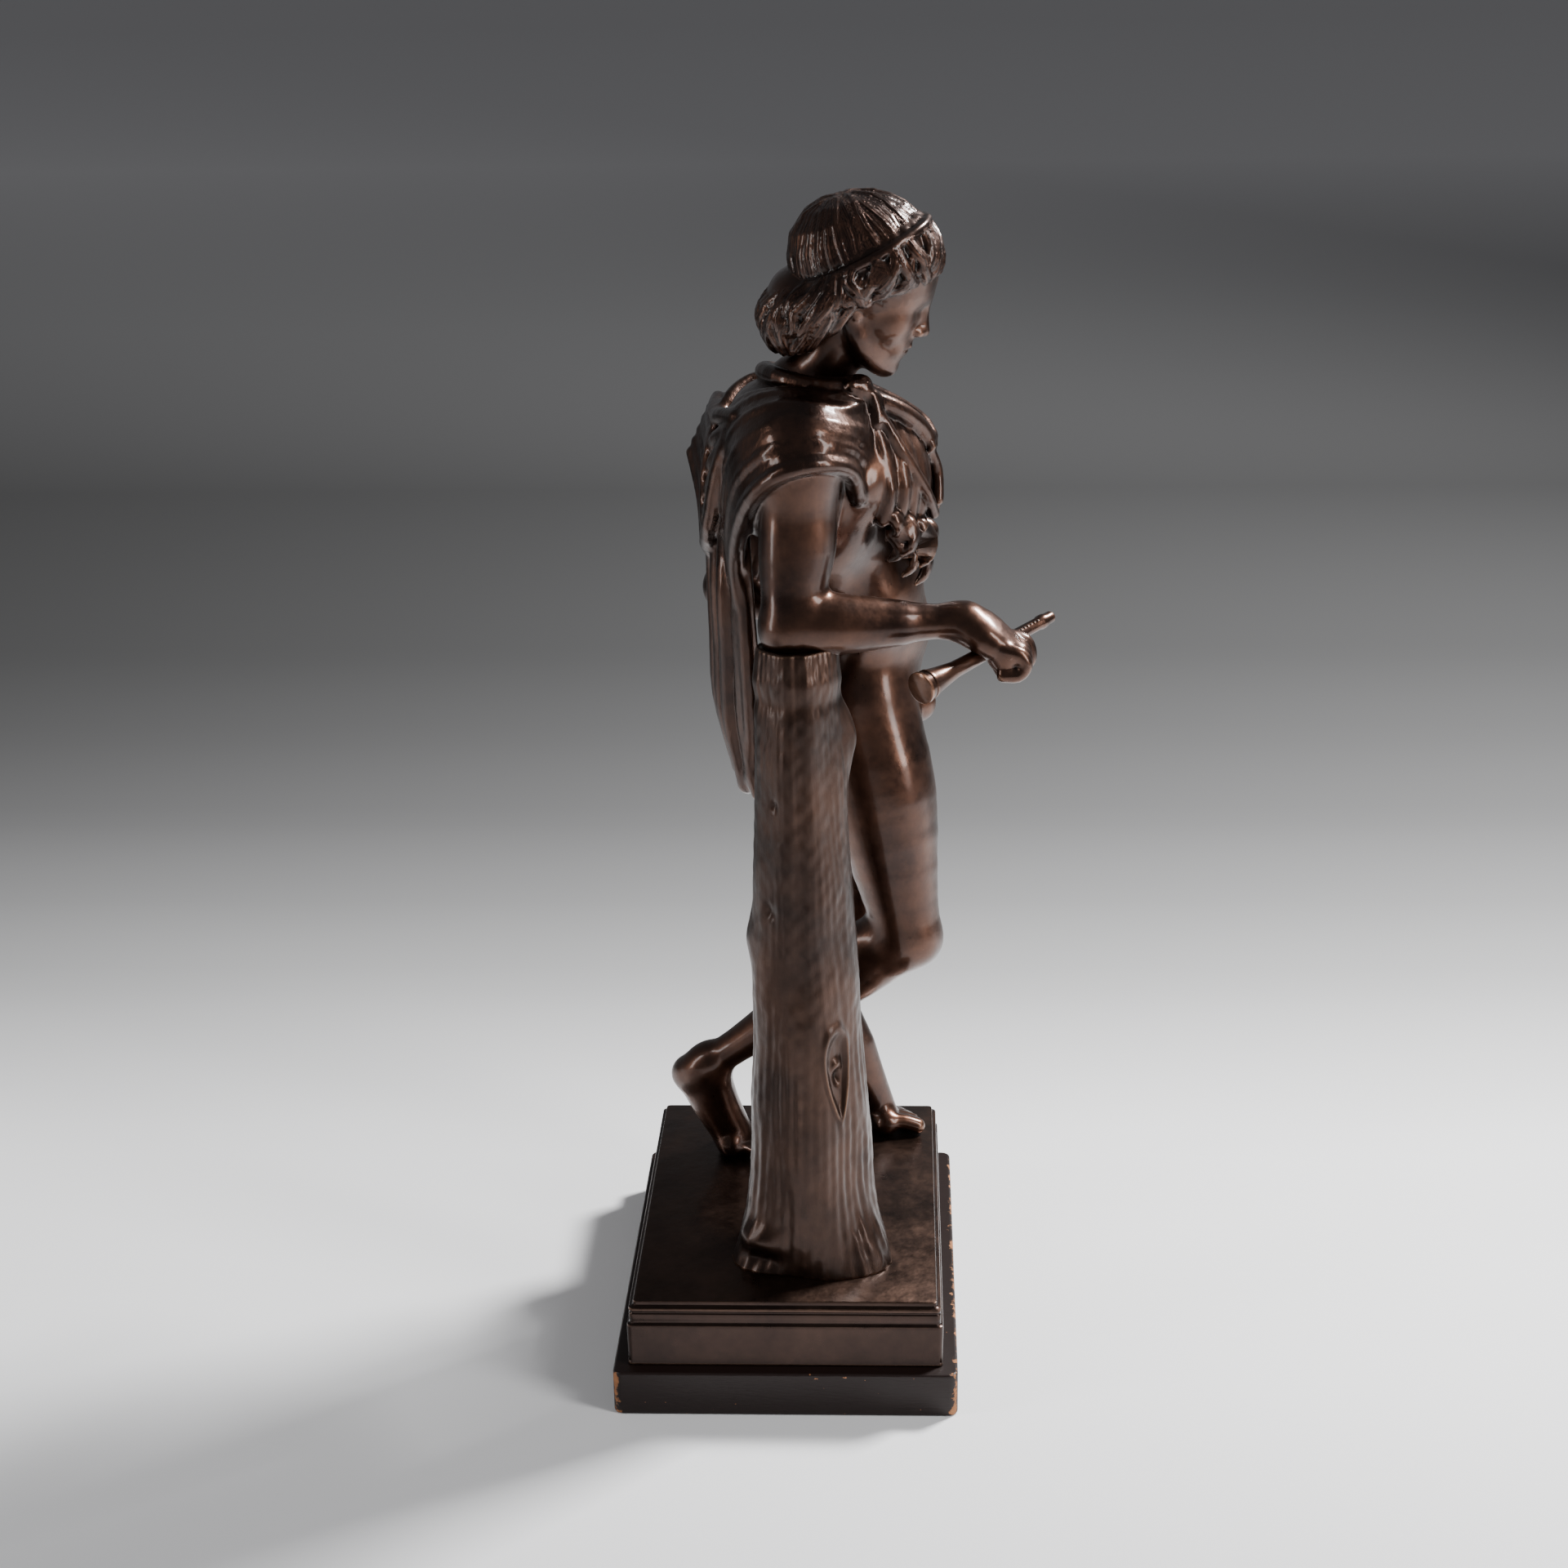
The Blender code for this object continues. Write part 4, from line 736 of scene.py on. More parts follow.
def mend(obj, least=300):
    """Closes the skin: unclean edges are cut out, holes are filled and crumbs are dropped."""
    bm = bmesh.new()
    bm.from_mesh(obj.data)
    for grow in range(7):
        bad = {v for e in bm.edges if len(e.link_faces) != 2 for v in e.verts}
        bad |= {v for v in bm.verts if not v.link_faces}
        if not bad:
            break
        for _ in range(min(grow, 2)):
            bad |= {e.other_vert(v) for v in bad for e in v.link_edges}
        bmesh.ops.delete(bm, geom=list(bad), context="VERTS")
        bmesh.ops.holes_fill(bm, edges=[e for e in bm.edges if e.is_boundary], sides=0)
    bmesh.ops.triangulate(bm, faces=bm.faces[:])
    left = set(bm.verts)
    while left:
        island, edge = set(), [left.pop()]
        while edge:
            v = edge.pop()
            island.add(v)
            near = [e.other_vert(v) for e in v.link_edges if e.other_vert(v) in left]
            left.difference_update(near)
            edge.extend(near)
        if len(island) < least:
            bmesh.ops.delete(bm, geom=list(island), context="VERTS")
    open_edges = sum(1 for e in bm.edges if len(e.link_faces) != 2)
    bm.to_mesh(obj.data)
    bm.free()
    obj.data.shade_smooth()
    return open_edges


# %% Comb lines
def comb(points, tags, strands):
    """For each point of a lock: its distance across the lock and along it, in metres."""
    lines = np.zeros((len(points), 3))
    head = np.array(HEAD_AT) * MM
    for tag, path in strands.items():
        mine = np.flatnonzero(tags == tag)
        if len(mine) == 0:
            continue
        p = points[mine]
        start, step = path[:-1], np.diff(path, axis=0)
        h = np.clip(np.einsum("psk,sk->ps", p[:, None] - start, step) / (step ** 2).sum(1), 0, 1)
        away = p[:, None] - start - h[..., None] * step
        best = (away ** 2).sum(2).argmin(1)
        pick = np.arange(len(p)), best
        along = np.append(0, np.cumsum(np.linalg.norm(step,
                                                      axis=1)))[best] + h[pick] * np.linalg.norm(step[best],
                                                                                                 axis=1)
        ahead = step[best] / np.linalg.norm(step[best], axis=1, keepdims=True)
        out = p - head
        out -= ahead * np.einsum("pk,pk->p", out, ahead)[:, None]
        out /= np.linalg.norm(out, axis=1, keepdims=True)
        side = np.cross(ahead, out)
        lines[mine] = np.stack([np.einsum("pk,pk->p", away[pick], side), along, np.full(len(p), 0.013 * tag)],
                               1)
    return lines


# %% Sculpt the figure
COMB_DEPTH, COMB_PITCH, NAP_DEPTH = 0.22 * MM, 2.1 * MM, 0.14 * MM
MOST_TRIANGLES = 195000
QUICK_STEP, FINE_STEP = 1.6 * MM, 1.0 * MM


def sculpt_figure(step):
    """The whole figure as one skin, with its layers as attributes."""
    clay = Clay()
    for build in (torso, right_leg, left_leg, right_arm, left_arm, right_hand, cloak, head):
        build(clay)
        clay.start()
    points, quads, tags, lost = sculpt(clay.forms, step)
    print("clay: %d quads, %d lost" % (len(quads), lost))
    lines = comb(points, tags, clay.strands)
    # comb lines are cut along each lock, and the hide gets a shallow, clumped nap
    a, b = points[quads[:, 2]] - points[quads[:, 0]], points[quads[:, 3]] - points[quads[:, 1]]
    normals = np.zeros_like(points)
    for k in range(4):
        np.add.at(normals, quads[:, k], np.cross(a, b))
    normals /= np.linalg.norm(normals, axis=1, keepdims=True) + 1e-12
    wander = 1.5 * np.sin(lines[:, 1] * 180 + lines[:, 2] * 500)
    cut = COMB_DEPTH * np.sin(lines[:, 0] * 2 * pi / COMB_PITCH + wander)
    nap = [NAP_DEPTH * noise_at(Vector((p[0] * 420, p[1] * 420, p[2] * 170))) for p in points[tags == SKIN]]
    move = np.where(tags >= FIRST_STRAND, cut, 0)
    move[tags == SKIN] = nap
    points = points + normals * move[:, None]
    points[:, 2] = np.maximum(points[:, 2], 0) + GROUND
    obj = mesh_object("bronze_youth", points, quads)
    mend(obj)
    fewer = obj.modifiers.new("fewer", "DECIMATE")
    fewer.ratio = min(1.0, MOST_TRIANGLES / triangles(obj))
    applied(obj)
    print("figure: %d open edges" % mend(obj))
    # the clay's layers and comb lines go to the nearest points of the finished skin
    tree = KDTree(len(points))
    for i, p in enumerate(points):
        tree.insert(p, i)
    tree.balance()
    near = np.array([tree.find(v.co)[1] for v in obj.data.vertices])
    for name, value in (("hide", tags == SKIN), ("locks", tags >= HAIR)):
        layer = obj.data.attributes.new(name, "FLOAT", "POINT")
        layer.data.foreach_set("value", value[near].astype(np.float32))
    layer = obj.data.attributes.new("comb", "FLOAT_VECTOR", "POINT")
    layer.data.foreach_set("vector", lines[near].astype(np.float32).ravel())
    return obj


figure = sculpt_figure(FINE_STEP)

# %% [markdown]
# The stump is a main piece whose shape follows a rule: a radius for each angle and height,
# made of a taper, two lobes, flared roots and a few burls.

# %% Stump surface
STUMP_TOP_RADIUS, STUMP_FOOT_RADIUS = 0.0232, 0.0440
# the solid's top lies under the elbow, and the lip rises a little so that the elbow presses in
STUMP_BELOW_ELBOW, LIP_RISE = 0.0172, 0.0050
POINTS_AROUND, POINTS_HIGH = 300, 320
GRAIN, BARK_LOW, BLOW, SWELL = 0.00013, 0.00030, 0.00008, 0.00050
# burls, stubs and dents: angle, share of the height, width, height and how far they stand out
KNOTS = [(1.62, 0.54, 0.35, 0.040, 0.22), (4.70, 0.865, 0.22, 0.050, 0.30), (2.30, 0.055, 0.30, 0.020, 0.22),
         (2.40, 0.022, 0.25, 0.016, -0.16),
         (2.55, 0.77, 0.10, 0.010, -0.07), (2.45, 0.60, 0.12, 0.012, -0.08), (2.75, 0.68, 0.30, 0.050, 0.05),
         (3.75, 0.62, 0.35, 0.060, 0.05),
         (0.4, 0.5, 0.5, 0.06, 0.12), (5.6, 0.28, 0.4, 0.05, 0.14), (0.9, 0.22, 0.25, 0.03, 0.16),
         (4.20, 0.02, 0.38, 0.060, 0.24)]
grain = np.random.default_rng(5)
WAVES = [(round(grain.uniform(9, 46)), grain.uniform(-30, 30), grain.uniform(0, 6.28),
          grain.uniform(0.4, 1.0)) for _ in range(30)]
BLOWS = [(round(grain.uniform(-26, 26)), grain.uniform(-230, 230), grain.uniform(0, 6.28)) for _ in range(60)]
SWELLS = [(round(grain.uniform(-4, 4)), grain.uniform(-38, 38), grain.uniform(0, 6.28)) for _ in range(14)]


def bump(x, width):
    """A bell curve of height 1."""
    return np.exp(-(x / width) ** 2)


def turn_from(angle, middle):
    """The angle from middle, between -pi and pi."""
    return (angle - middle + pi) % (2 * pi) - pi


def stump_radius(angle, t):
    """The stump's radius at an angle and a share t of its height."""
    r = STUMP_TOP_RADIUS + (STUMP_FOOT_RADIUS * 0.86 - STUMP_TOP_RADIUS) * (1 - t) ** 1.25
    r = r * (1 + 0.05 * np.cos(2 * angle + 0.9) + 0.035 * np.cos(5 * angle + 2.0 + 1.5 * t))
    flare = np.maximum(0, 1 - t / 0.16) ** 2
    r = r + STUMP_FOOT_RADIUS * flare * (0.10 + 0.13 * np.cos(3 * (angle - 4.05)))
    for a, level, wide, tall, size in KNOTS:
        d = turn_from(angle, a)
        r = r + STUMP_TOP_RADIUS * size * bump(d, wide) * bump(t - level, tall)
    # an upright groove between two lobes on the side that is seen
    d = turn_from(angle, 3.12 + 0.05 * np.sin(9 * t))
    r = r - 0.0016 * bump(d, 0.16) * np.clip((t - 0.30) / 0.2, 0, 1)
    # a cut knot: a pointed oval lip round a hollow, with a small lid over its hole
    u, v = turn_from(angle, 3.74) / 0.30, (t - 0.335) / 0.074
    oval = np.sqrt((u / np.clip(0.86 + 0.42 * v, 0.05, 2)) ** 2 + v ** 2)
    r = r + 0.0017 * bump(oval - 1, 0.17) - 0.0016 * np.clip(1 - oval, 0, 0.35) / 0.35
    r = r + 0.0024 * bump(u, 0.42) * bump(v - 0.22 + 0.25 * u * u, 0.14)
    r = r - 0.0030 * bump(u, 0.30) * bump(v + 0.08, 0.16)
    # chased grain up the stump and round its roots, hammered and uneven between
    lines = sum(w * np.sin(n * angle + k * t + f + 1.4 * np.sin(5 * t + n)) for n, k, f, w in WAVES) / 5.0
    blows = sum(np.sin(n * angle + k * t + f) for n, k, f in BLOWS) / 5.5
    swells = sum(np.sin(n * angle + k * t + f) for n, k, f in SWELLS) / 2.6
    low = np.clip(1 - t * 2.0, 0, 1)
    return r + (GRAIN + BARK_LOW * low) * lines + BLOW * blows + SWELL * swells * np.clip(t * 8, 0, 1)


# %% Stump mesh
def grid_object(name, points):
    """A closed skin over a grid of rings, bottom to top."""
    rows, around = points.shape[:2]
    i, j = np.meshgrid(np.arange(rows - 1), np.arange(around), indexing="ij")
    k = (j + 1) % around
    quads = np.stack([i * around + j, i * around + k, (i + 1) * around + k, (i + 1) * around + j],
                     -1).reshape(-1, 4)
    obj = mesh_object(name, points.reshape(-1, 3), quads)
    bm = bmesh.new()
    bm.from_mesh(obj.data)
    bmesh.ops.holes_fill(bm, edges=[e for e in bm.edges if e.is_boundary], sides=0)
    bmesh.ops.triangulate(bm, faces=[f for f in bm.faces if len(f.verts) > 4])
    bm.to_mesh(obj.data)
    bm.free()
    return obj


def stump():
    top = GROUND + ELBOW_R[2] * MM - STUMP_BELOW_ELBOW + LIP_RISE
    angle = np.linspace(0, 2 * pi, POINTS_AROUND, endpoint=False)[None]
    t = np.linspace(0, 1, POINTS_HIGH)[:, None]
    # a shallow neck and a rounded bead below the flat top
    edge = 1 - 0.045 * np.maximum(0, (t - 0.955) / 0.045) ** 2
    bead = 0.0005 * bump(t - 0.955, 0.012) - 0.0007 * bump(t - 0.925, 0.014)
    rings = [stump_radius(angle, t) * edge + bead]
    heights = [GROUND + t * (top - GROUND) + 0 * angle]
    lip = ((0.935, -0.0008), (0.91, -0.0011), (0.88, -0.0012), (0.85, -0.0010), (0.80, -0.0006),
           (0.70, -0.0005), (0.50, -0.0005), (0.30, -0.0005), (0.10, -0.0005))
    for share, drop in lip:
        rings.append(stump_radius(angle, 1.0) * share)
        heights.append(np.full((1, POINTS_AROUND), top - drop))
    r, z = np.concatenate(rings), np.concatenate(heights)
    shift = np.concatenate([1 - t, np.zeros((len(lip), 1))])
    cx, cy = (ELBOW_R[0] + 2) * MM, (ELBOW_R[1] - 2 - 4 * shift) * MM
    points = np.stack([cx + r * np.cos(angle), cy + r * np.sin(angle), z], -1)
    return grid_object("bronze_stump", points)


tree = stump()

# %% [markdown]
# The base and the slab are the same idea at two scales: one profile carried round a
# rectangle with rounded corners. Rings of points do it with full control of each groove.

# %% Profiles round a rectangle
def rounded_ring(half_x, half_y, radius, z, steps=8):
    """A rectangle with round corners, counter-clockwise."""
    ring = []
    for k, (sx, sy) in enumerate(((1, 1), (-1, 1), (-1, -1), (1, -1))):
        for i in range(steps + 1):
            a = (k + i / steps) * pi / 2
            ring.append((sx * (half_x - radius) + radius * cos(a), sy * (half_y - radius) + radius * sin(a),
                         z))
    return ring


def ring_object(name, rings, smooth=30):
    """A closed skin over rings of points, bottom to top."""
    bm = bmesh.new()
    rows = [[bm.verts.new(p) for p in ring] for ring in rings]
    n = len(rows[0])
    for low, high in zip(rows[:-1], rows[1:]):
        for i in range(n):
            bm.faces.new((low[i], low[(i + 1) % n], high[(i + 1) % n], high[i]))
    bm.faces.new(rows[0][::-1])
    bm.faces.new(rows[-1])
    mesh = bpy.data.meshes.new(name)
    bm.to_mesh(mesh)
    bm.free()
    mesh.shade_smooth()
    mesh.set_sharp_from_angle(angle=radians(smooth))
    obj = bpy.data.objects.new(name, mesh)
    bpy.context.scene.collection.objects.link(obj)
    return obj


# %% Moulded base
def base_ring(margin, z):
    """The base's outline, with its margin as a share of the fascia's."""
    out = margin * FASCIA_MARGIN
    return rounded_ring(PLATE_LENGTH / 2 + out, PLATE_WIDTH / 2 + out, PLATE_CORNER + max(0.0, out * 0.3), z)


profile = [(1.0, 0.0), (0.97, 0.10), (0.92, 0.14), (0.70, 0.17), (0.60, 0.20), (0.55, 0.28), (0.62, 0.33),
           (0.64, 0.38), (0.64, 0.54),
           (0.60, 0.57), (0.50, 0.60), (0.50, 0.63), (0.60, 0.66), (0.66, 0.69), (0.66, 0.74), (0.60, 0.78),
           (0.30, 0.80), (0.10, 0.83),
           (0.0, 0.86), (0.0, 0.95), (-0.05, 0.985), (-0.15, 1.0)]
rings = [base_ring(m, BASE_BOTTOM + z) for m, z in ((0.8, 0.0), (1.0, 0.0006), (1.0, 0.0015), (0.9, 0.0023))]
rings += [base_ring(m, BASE_BOTTOM + FASCIA_HEIGHT + z * MOULDING_HEIGHT) for m, z in profile]
base = ring_object("bronze_base", rings)
print("base: %d rings" % len(rings))

# %% Wooden slab
SLAB_ROUND = 0.0016
half_x = PLATE_LENGTH / 2 + FASCIA_MARGIN + SLAB_MARGIN
half_y = PLATE_WIDTH / 2 + FASCIA_MARGIN + SLAB_MARGIN
rings = []
for i in range(7):
    a = i / 6 * pi / 2
    inset, z = SLAB_ROUND * (1 - sin(a)), SLAB_ROUND * (1 - cos(a))
    rings.append(rounded_ring(half_x - inset, half_y - inset, SLAB_CORNER - inset, z))
rings += [[(x, y, SLAB_THICKNESS - z) for x, y, z in ring] for ring in rings[::-1]]
slab = ring_object("wooden_slab", rings)
print("slab: %.1f x %.1f mm" % (2 * half_x / MM, 2 * half_y / MM))

# %% [markdown]
# The pipe is a turned rod with a bell, two rings at the bell and a collar near the mouth.

# %% Pipe
PIPE_LENGTH, PIPE_RADIUS, PIPE_BELL_RADIUS = 0.1080, 0.0044, 0.0088
PIPE_AXIS = Vector((0.070, -0.065, 0.0145)).normalized()
PIPE_GRIP = Vector((-0.0535, -0.1095, 0.3560 + GROUND))
PIPE_FRAME = Matrix.Translation(PIPE_GRIP - PIPE_AXIS * 0.47 * PIPE_LENGTH)
PIPE_FRAME = PIPE_FRAME @ PIPE_AXIS.to_track_quat("Z", "X").to_matrix().to_4x4()


def turned(name, profile, around=40):
    """A turned piece on the pipe's axis, from places along it and radii."""
    rings = [[PIPE_FRAME @ Vector((r * cos(a), r * sin(a),
                                   along)) for a in np.linspace(0, 2 * pi, around, endpoint=False)]
             for along, r in profile]
    return ring_object(name, rings)


bell, body = PIPE_BELL_RADIUS, PIPE_RADIUS
pipe_profile = [(0.0, bell * 0.86), (0.006, bell), (0.020, bell), (0.026, bell * 0.90), (0.050, bell * 0.88),
                (0.056, bell * 0.93),
                (0.066, bell * 0.93), (0.080, bell * 0.86), (0.15, body + (bell - body) * 0.42),
                (0.25, body * 1.06), (0.34, body),
                (0.70, body * 0.86), (0.89, body * 0.80), (0.905, body * 0.92), (0.935, body * 0.92),
                (0.95, body * 0.80),
                (0.99, body * 0.76), (1.0, body * 0.60)]
flute = turned("bronze_pipe", [(share * PIPE_LENGTH, r) for share, r in pipe_profile])

# %% [markdown]
# The pipe has a row of finger holes with raised rims. A row is a repeat, so Geometry Nodes
# make it: points on a line, one small shape on each, realized into a plain mesh. The same
# tree makes the rims from a bent ring and, from a short cylinder, near-black discs of painted shade where the
# holes are.

# %% Row of holes
def node_at(tree, kind, links=(), **values):
    """A node with its inputs set by name or linked from other nodes' sockets."""
    node = tree.nodes.new(kind)
    for key, value in values.items():
        node.inputs[key.replace("_", " ")].default_value = value
    for key, source in dict(links).items():
        tree.links.new(source, node.inputs[key])
    return node


def row_tree():
    """Nodes for a row of rims or of pits, dark discs that paint the shade inside the holes."""
    tree = bpy.data.node_groups.new("finger_hole_row", "GeometryNodeTree")
    for name, kind in (("Geometry", "Geometry"), ("Count", "Int"), ("First", "Vector"), ("Step", "Vector"),
                       ("Turn", "Vector"),
                       ("Radius", "Float"), ("Thickness", "Float"), ("Rim", "Bool"),
                       ("Material", "Material")):
        tree.interface.new_socket(name, in_out="INPUT", socket_type="NodeSocket" + kind)
    tree.interface.new_socket("Geometry", in_out="OUTPUT", socket_type="NodeSocketGeometry")
    given = tree.nodes.new("NodeGroupInput").outputs
    line = node_at(tree, "GeometryNodeMeshLine",
                   {"Count": given["Count"], "Start Location": given["First"], "Offset": given["Step"]})
    big = node_at(tree, "GeometryNodeCurvePrimitiveCircle", {"Radius": given["Radius"]}, Resolution=14)
    small = node_at(tree, "GeometryNodeCurvePrimitiveCircle", {"Radius": given["Thickness"]}, Resolution=6)
    ring = node_at(tree, "GeometryNodeCurveToMesh",
                   {"Curve": big.outputs["Curve"], "Profile Curve": small.outputs["Curve"]})
    shade_disc = node_at(tree, "GeometryNodeMeshCylinder", {"Radius": given["Radius"], "Depth": given["Thickness"]},
                  Vertices=14)
    pick = tree.nodes.new("GeometryNodeSwitch")
    pick.input_type = "GEOMETRY"
    tree.links.new(given["Rim"], pick.inputs["Switch"])
    tree.links.new(shade_disc.outputs["Mesh"], pick.inputs["False"])
    tree.links.new(ring.outputs["Mesh"], pick.inputs["True"])
    turn = node_at(tree, "FunctionNodeEulerToRotation", {"Euler": given["Turn"]})
    row = node_at(tree, "GeometryNodeInstanceOnPoints",
                  {"Points": line.outputs["Mesh"], "Instance": pick.outputs["Output"],
                   "Rotation": turn.outputs["Rotation"]})
    real = node_at(tree, "GeometryNodeRealizeInstances", {"Geometry": row.outputs["Instances"]})
    coat = node_at(tree, "GeometryNodeSetMaterial",
                   {"Geometry": real.outputs["Geometry"], "Material": given["Material"]})
    tree.links.new(coat.outputs["Geometry"], tree.nodes.new("NodeGroupOutput").inputs["Geometry"])
    return tree


def hole_row(name, tree, **values):
    """A baked row of rims or of pits, dark discs that paint the shade inside the holes."""
    obj = mesh_object(name, [(0, 0, 0)] * 3, [(0, 1, 2)])
    row = obj.modifiers.new("row", "NODES")
    row.node_group = tree
    for item in tree.interface.items_tree:
        if item.in_out == "INPUT" and item.name in values:
            row[item.identifier] = values[item.name]
    applied(obj)
    obj.data.shade_smooth()
    return obj


HOLES, HOLE_RADIUS, HOLE_PITCH, FIRST_HOLE = 6, 0.62 * MM, 2.8 * MM, 0.745
side = Vector((-0.55, -0.20, 0.75))
side = (side - PIPE_AXIS * side.dot(PIPE_AXIS)).normalized()
first = PIPE_FRAME @ Vector((0, 0, FIRST_HOLE * PIPE_LENGTH)) + side * PIPE_RADIUS * 0.85
hole_places = dict(Count=HOLES, First=tuple(first), Step=tuple(PIPE_AXIS * HOLE_PITCH),
                   Turn=tuple(side.to_track_quat("Z", "Y").to_euler()))

# %% [markdown]
# The bronze is brown because a thin patina and lacquer lie over bright metal. A metallic base
# gives the copper fringe round each highlight, and a clear coat gives its paler core. Wear
# follows the edges, so one mask comes from how sharply the surface bends.

# %% Finish: short ways to add nodes
class Finish:
    """A new material with its Principled BSDF; each call adds one node and gives its output."""

    def __init__(self, name):
        self.mat = bpy.data.materials.new(name)
        self.mat.use_nodes = True
        self.nodes, self.links = self.mat.node_tree.nodes, self.mat.node_tree.links
        self.bsdf = self.nodes["Principled BSDF"]

    def add(self, kind, links=(), **values):
        return node_at(self.mat.node_tree, "ShaderNode" + kind, links, **values)

    def noise(self, vector, scale, detail=4, rough=0.5):
        node = self.add("TexNoise", {"Vector": vector}, Scale=scale, Detail=detail, Roughness=rough)
        return node.outputs["Fac"]

    def remap(self, value, low, high, to_low=0.0, to_high=1.0):
        ends = dict(From_Min=low, From_Max=high, To_Min=to_low, To_Max=to_high)
        return self.add("MapRange", {"Value": value}, **ends).outputs["Result"]

    def blend(self, mask, first, second):
        """Mixes two colours, each a socket or three numbers, by a mask."""
        node = self.nodes.new("ShaderNodeMix")
        node.data_type = "RGBA"
        self.links.new(mask, node.inputs["Factor"])
        for colour, socket in ((first, node.inputs[6]), (second, node.inputs[7])):
            if isinstance(colour, tuple):
                socket.default_value = (*colour, 1)
            else:
                self.links.new(colour, socket)
        return node.outputs[2]

    def math(self, operation, first, second=0.0):
        node = self.nodes.new("ShaderNodeMath")
        node.operation = operation
        for value, socket in ((first, node.inputs[0]), (second, node.inputs[1])):
            if isinstance(value, (int, float)):
                socket.default_value = value
            else:
                self.links.new(value, socket)
        return node.outputs[0]

    def stretched(self, scale, vector=None):
        """Object coordinates, or another vector, stretched by three factors."""
        vector = vector or self.nodes.new("ShaderNodeTexCoord").outputs["Object"]
        return self.add("Mapping", {"Vector": vector}, Scale=scale).outputs["Vector"]

    def attribute(self, name):
        node = self.nodes.new("ShaderNodeAttribute")
        node.attribute_name = name
        return node.outputs

    def bump(self, height, strength, distance):
        node = self.add("Bump", {"Height": height}, Strength=strength, Distance=distance)
        self.links.new(node.outputs["Normal"], self.bsdf.inputs["Normal"])

    def put(self, name, value):
        """Sets or links an input of the BSDF."""
        if isinstance(value, bpy.types.NodeSocket):
            self.links.new(value, self.bsdf.inputs[name])
        else:
            self.bsdf.inputs[name].default_value = value


# %% Bronze
BRONZE_RELIEF, WOOD_RELIEF = 0.3 * MM, 0.4 * MM
AS_IS = (1, 1, 1)


def bronze(name, dark, mid, worn, rough, coat, coat_rough, grain, relief, stretch=AS_IS, hide=False,
           wear=(0.515, 0.56)):
    """Patinated bronze: cloudy brown, bare where it bends outwards, dark in its hollows."""
    f = Finish(name)
    place = f.stretched(AS_IS)
    cloud = f.noise(place, 18, 6, 0.65)
    colour = f.blend(f.remap(cloud, 0.38, 0.66), dark, mid)
    bend = f.nodes.new("ShaderNodeNewGeometry").outputs["Pointiness"]
    patch = f.math("MULTIPLY", f.remap(bend, *wear),
                   f.remap(f.noise(place, 60, 5, 0.7), 0.35, 0.62, 0.35, 1.0))
    colour = f.blend(patch, colour, worn)
    hollow = f.remap(bend, 0.43, 0.490)
    colour = f.blend(hollow, tuple(c * 0.18 for c in dark), colour)
    fine = f.noise(f.stretched(stretch), grain, 4, 0.6)
    height = f.math("MULTIPLY", fine, relief)
    if hide:
        fur = f.noise(f.stretched((1, 1, 0.28)), 620, 2, 0.6)
        on_hide, in_locks = f.attribute("hide")["Fac"], f.attribute("locks")["Fac"]
        height = f.math("ADD", height, f.math("MULTIPLY", fur, f.math("MULTIPLY", on_hide, 0.60)))
        hide_dark = f.math("MULTIPLY", on_hide, 0.35)
        # comb lines of the hair: fine across each lock and long along it
        combed = f.stretched((1500, 70, 900), f.attribute("comb")["Vector"])
        strand = f.noise(combed, 1.0, 2, 0.6)
        height = f.math("ADD", height, f.math("MULTIPLY", strand, f.math("MULTIPLY", in_locks, 1.1)))
        lines_dark = f.math("MULTIPLY", f.remap(strand, 0.55, 0.40), in_locks)
        shade = f.math("MAXIMUM", hide_dark, f.math("MULTIPLY", lines_dark, 0.8))
        colour = f.blend(shade, colour, tuple(c * 0.3 for c in dark))
    f.put("Base Color", colour)
    blotch = f.math("ADD", f.noise(place, 30, 5, 0.6), f.math("MULTIPLY", f.noise(place, 170, 3, 0.6), 0.5))
    f.put("Roughness", f.remap(blotch, 0.55, 0.95, rough - 0.07, rough + 0.12))
    # slow unevenness of the cast surface breaks up the highlights
    height = f.math("ADD", height, f.math("MULTIPLY", f.noise(place, 75, 3, 0.5), 1.6))
    f.bump(height, 1.0, BRONZE_RELIEF)
    f.put("Metallic", 0.95)
    f.put("Coat Weight", coat)
    f.put("Coat Roughness", coat_rough)
    return f.mat


skin_bronze = bronze("polished_bronze", (0.036, 0.017, 0.012), (0.105, 0.047, 0.028), (0.42, 0.21, 0.125),
                     0.33, 0.50, 0.15, 500, 0.10, hide=True, wear=(0.530, 0.61))
bark_bronze = bronze("bark_bronze", (0.022, 0.012, 0.009), (0.060, 0.031, 0.021), (0.26, 0.145, 0.09), 0.40,
                     0.28, 0.22, 420, 0.75, (1, 1, 0.25), wear=(0.52, 0.59))
plate_bronze = bronze("plate_bronze", (0.024, 0.013, 0.010), (0.046, 0.025, 0.018), (0.26, 0.15, 0.10), 0.33,
                      0.25, 0.20, 300, 0.12, wear=(0.53, 0.60))
# near-black discs painted as the shade inside the pipe's finger holes
f = Finish("hole_painted_shade")
f.put("Base Color", f.blend(f.noise(f.stretched(AS_IS), 900), (0.004, 0.003, 0.003), (0.012, 0.008, 0.006)))
f.put("Roughness", 0.6)
hole_painted_shade = f.mat
print("bronzes:", skin_bronze.name, bark_bronze.name, plate_bronze.name)

# %% [markdown]
# The slab is wood under near-black paint. Knocks have bared it at the upright corners and
# along the top edge on the side that is seen at the right.

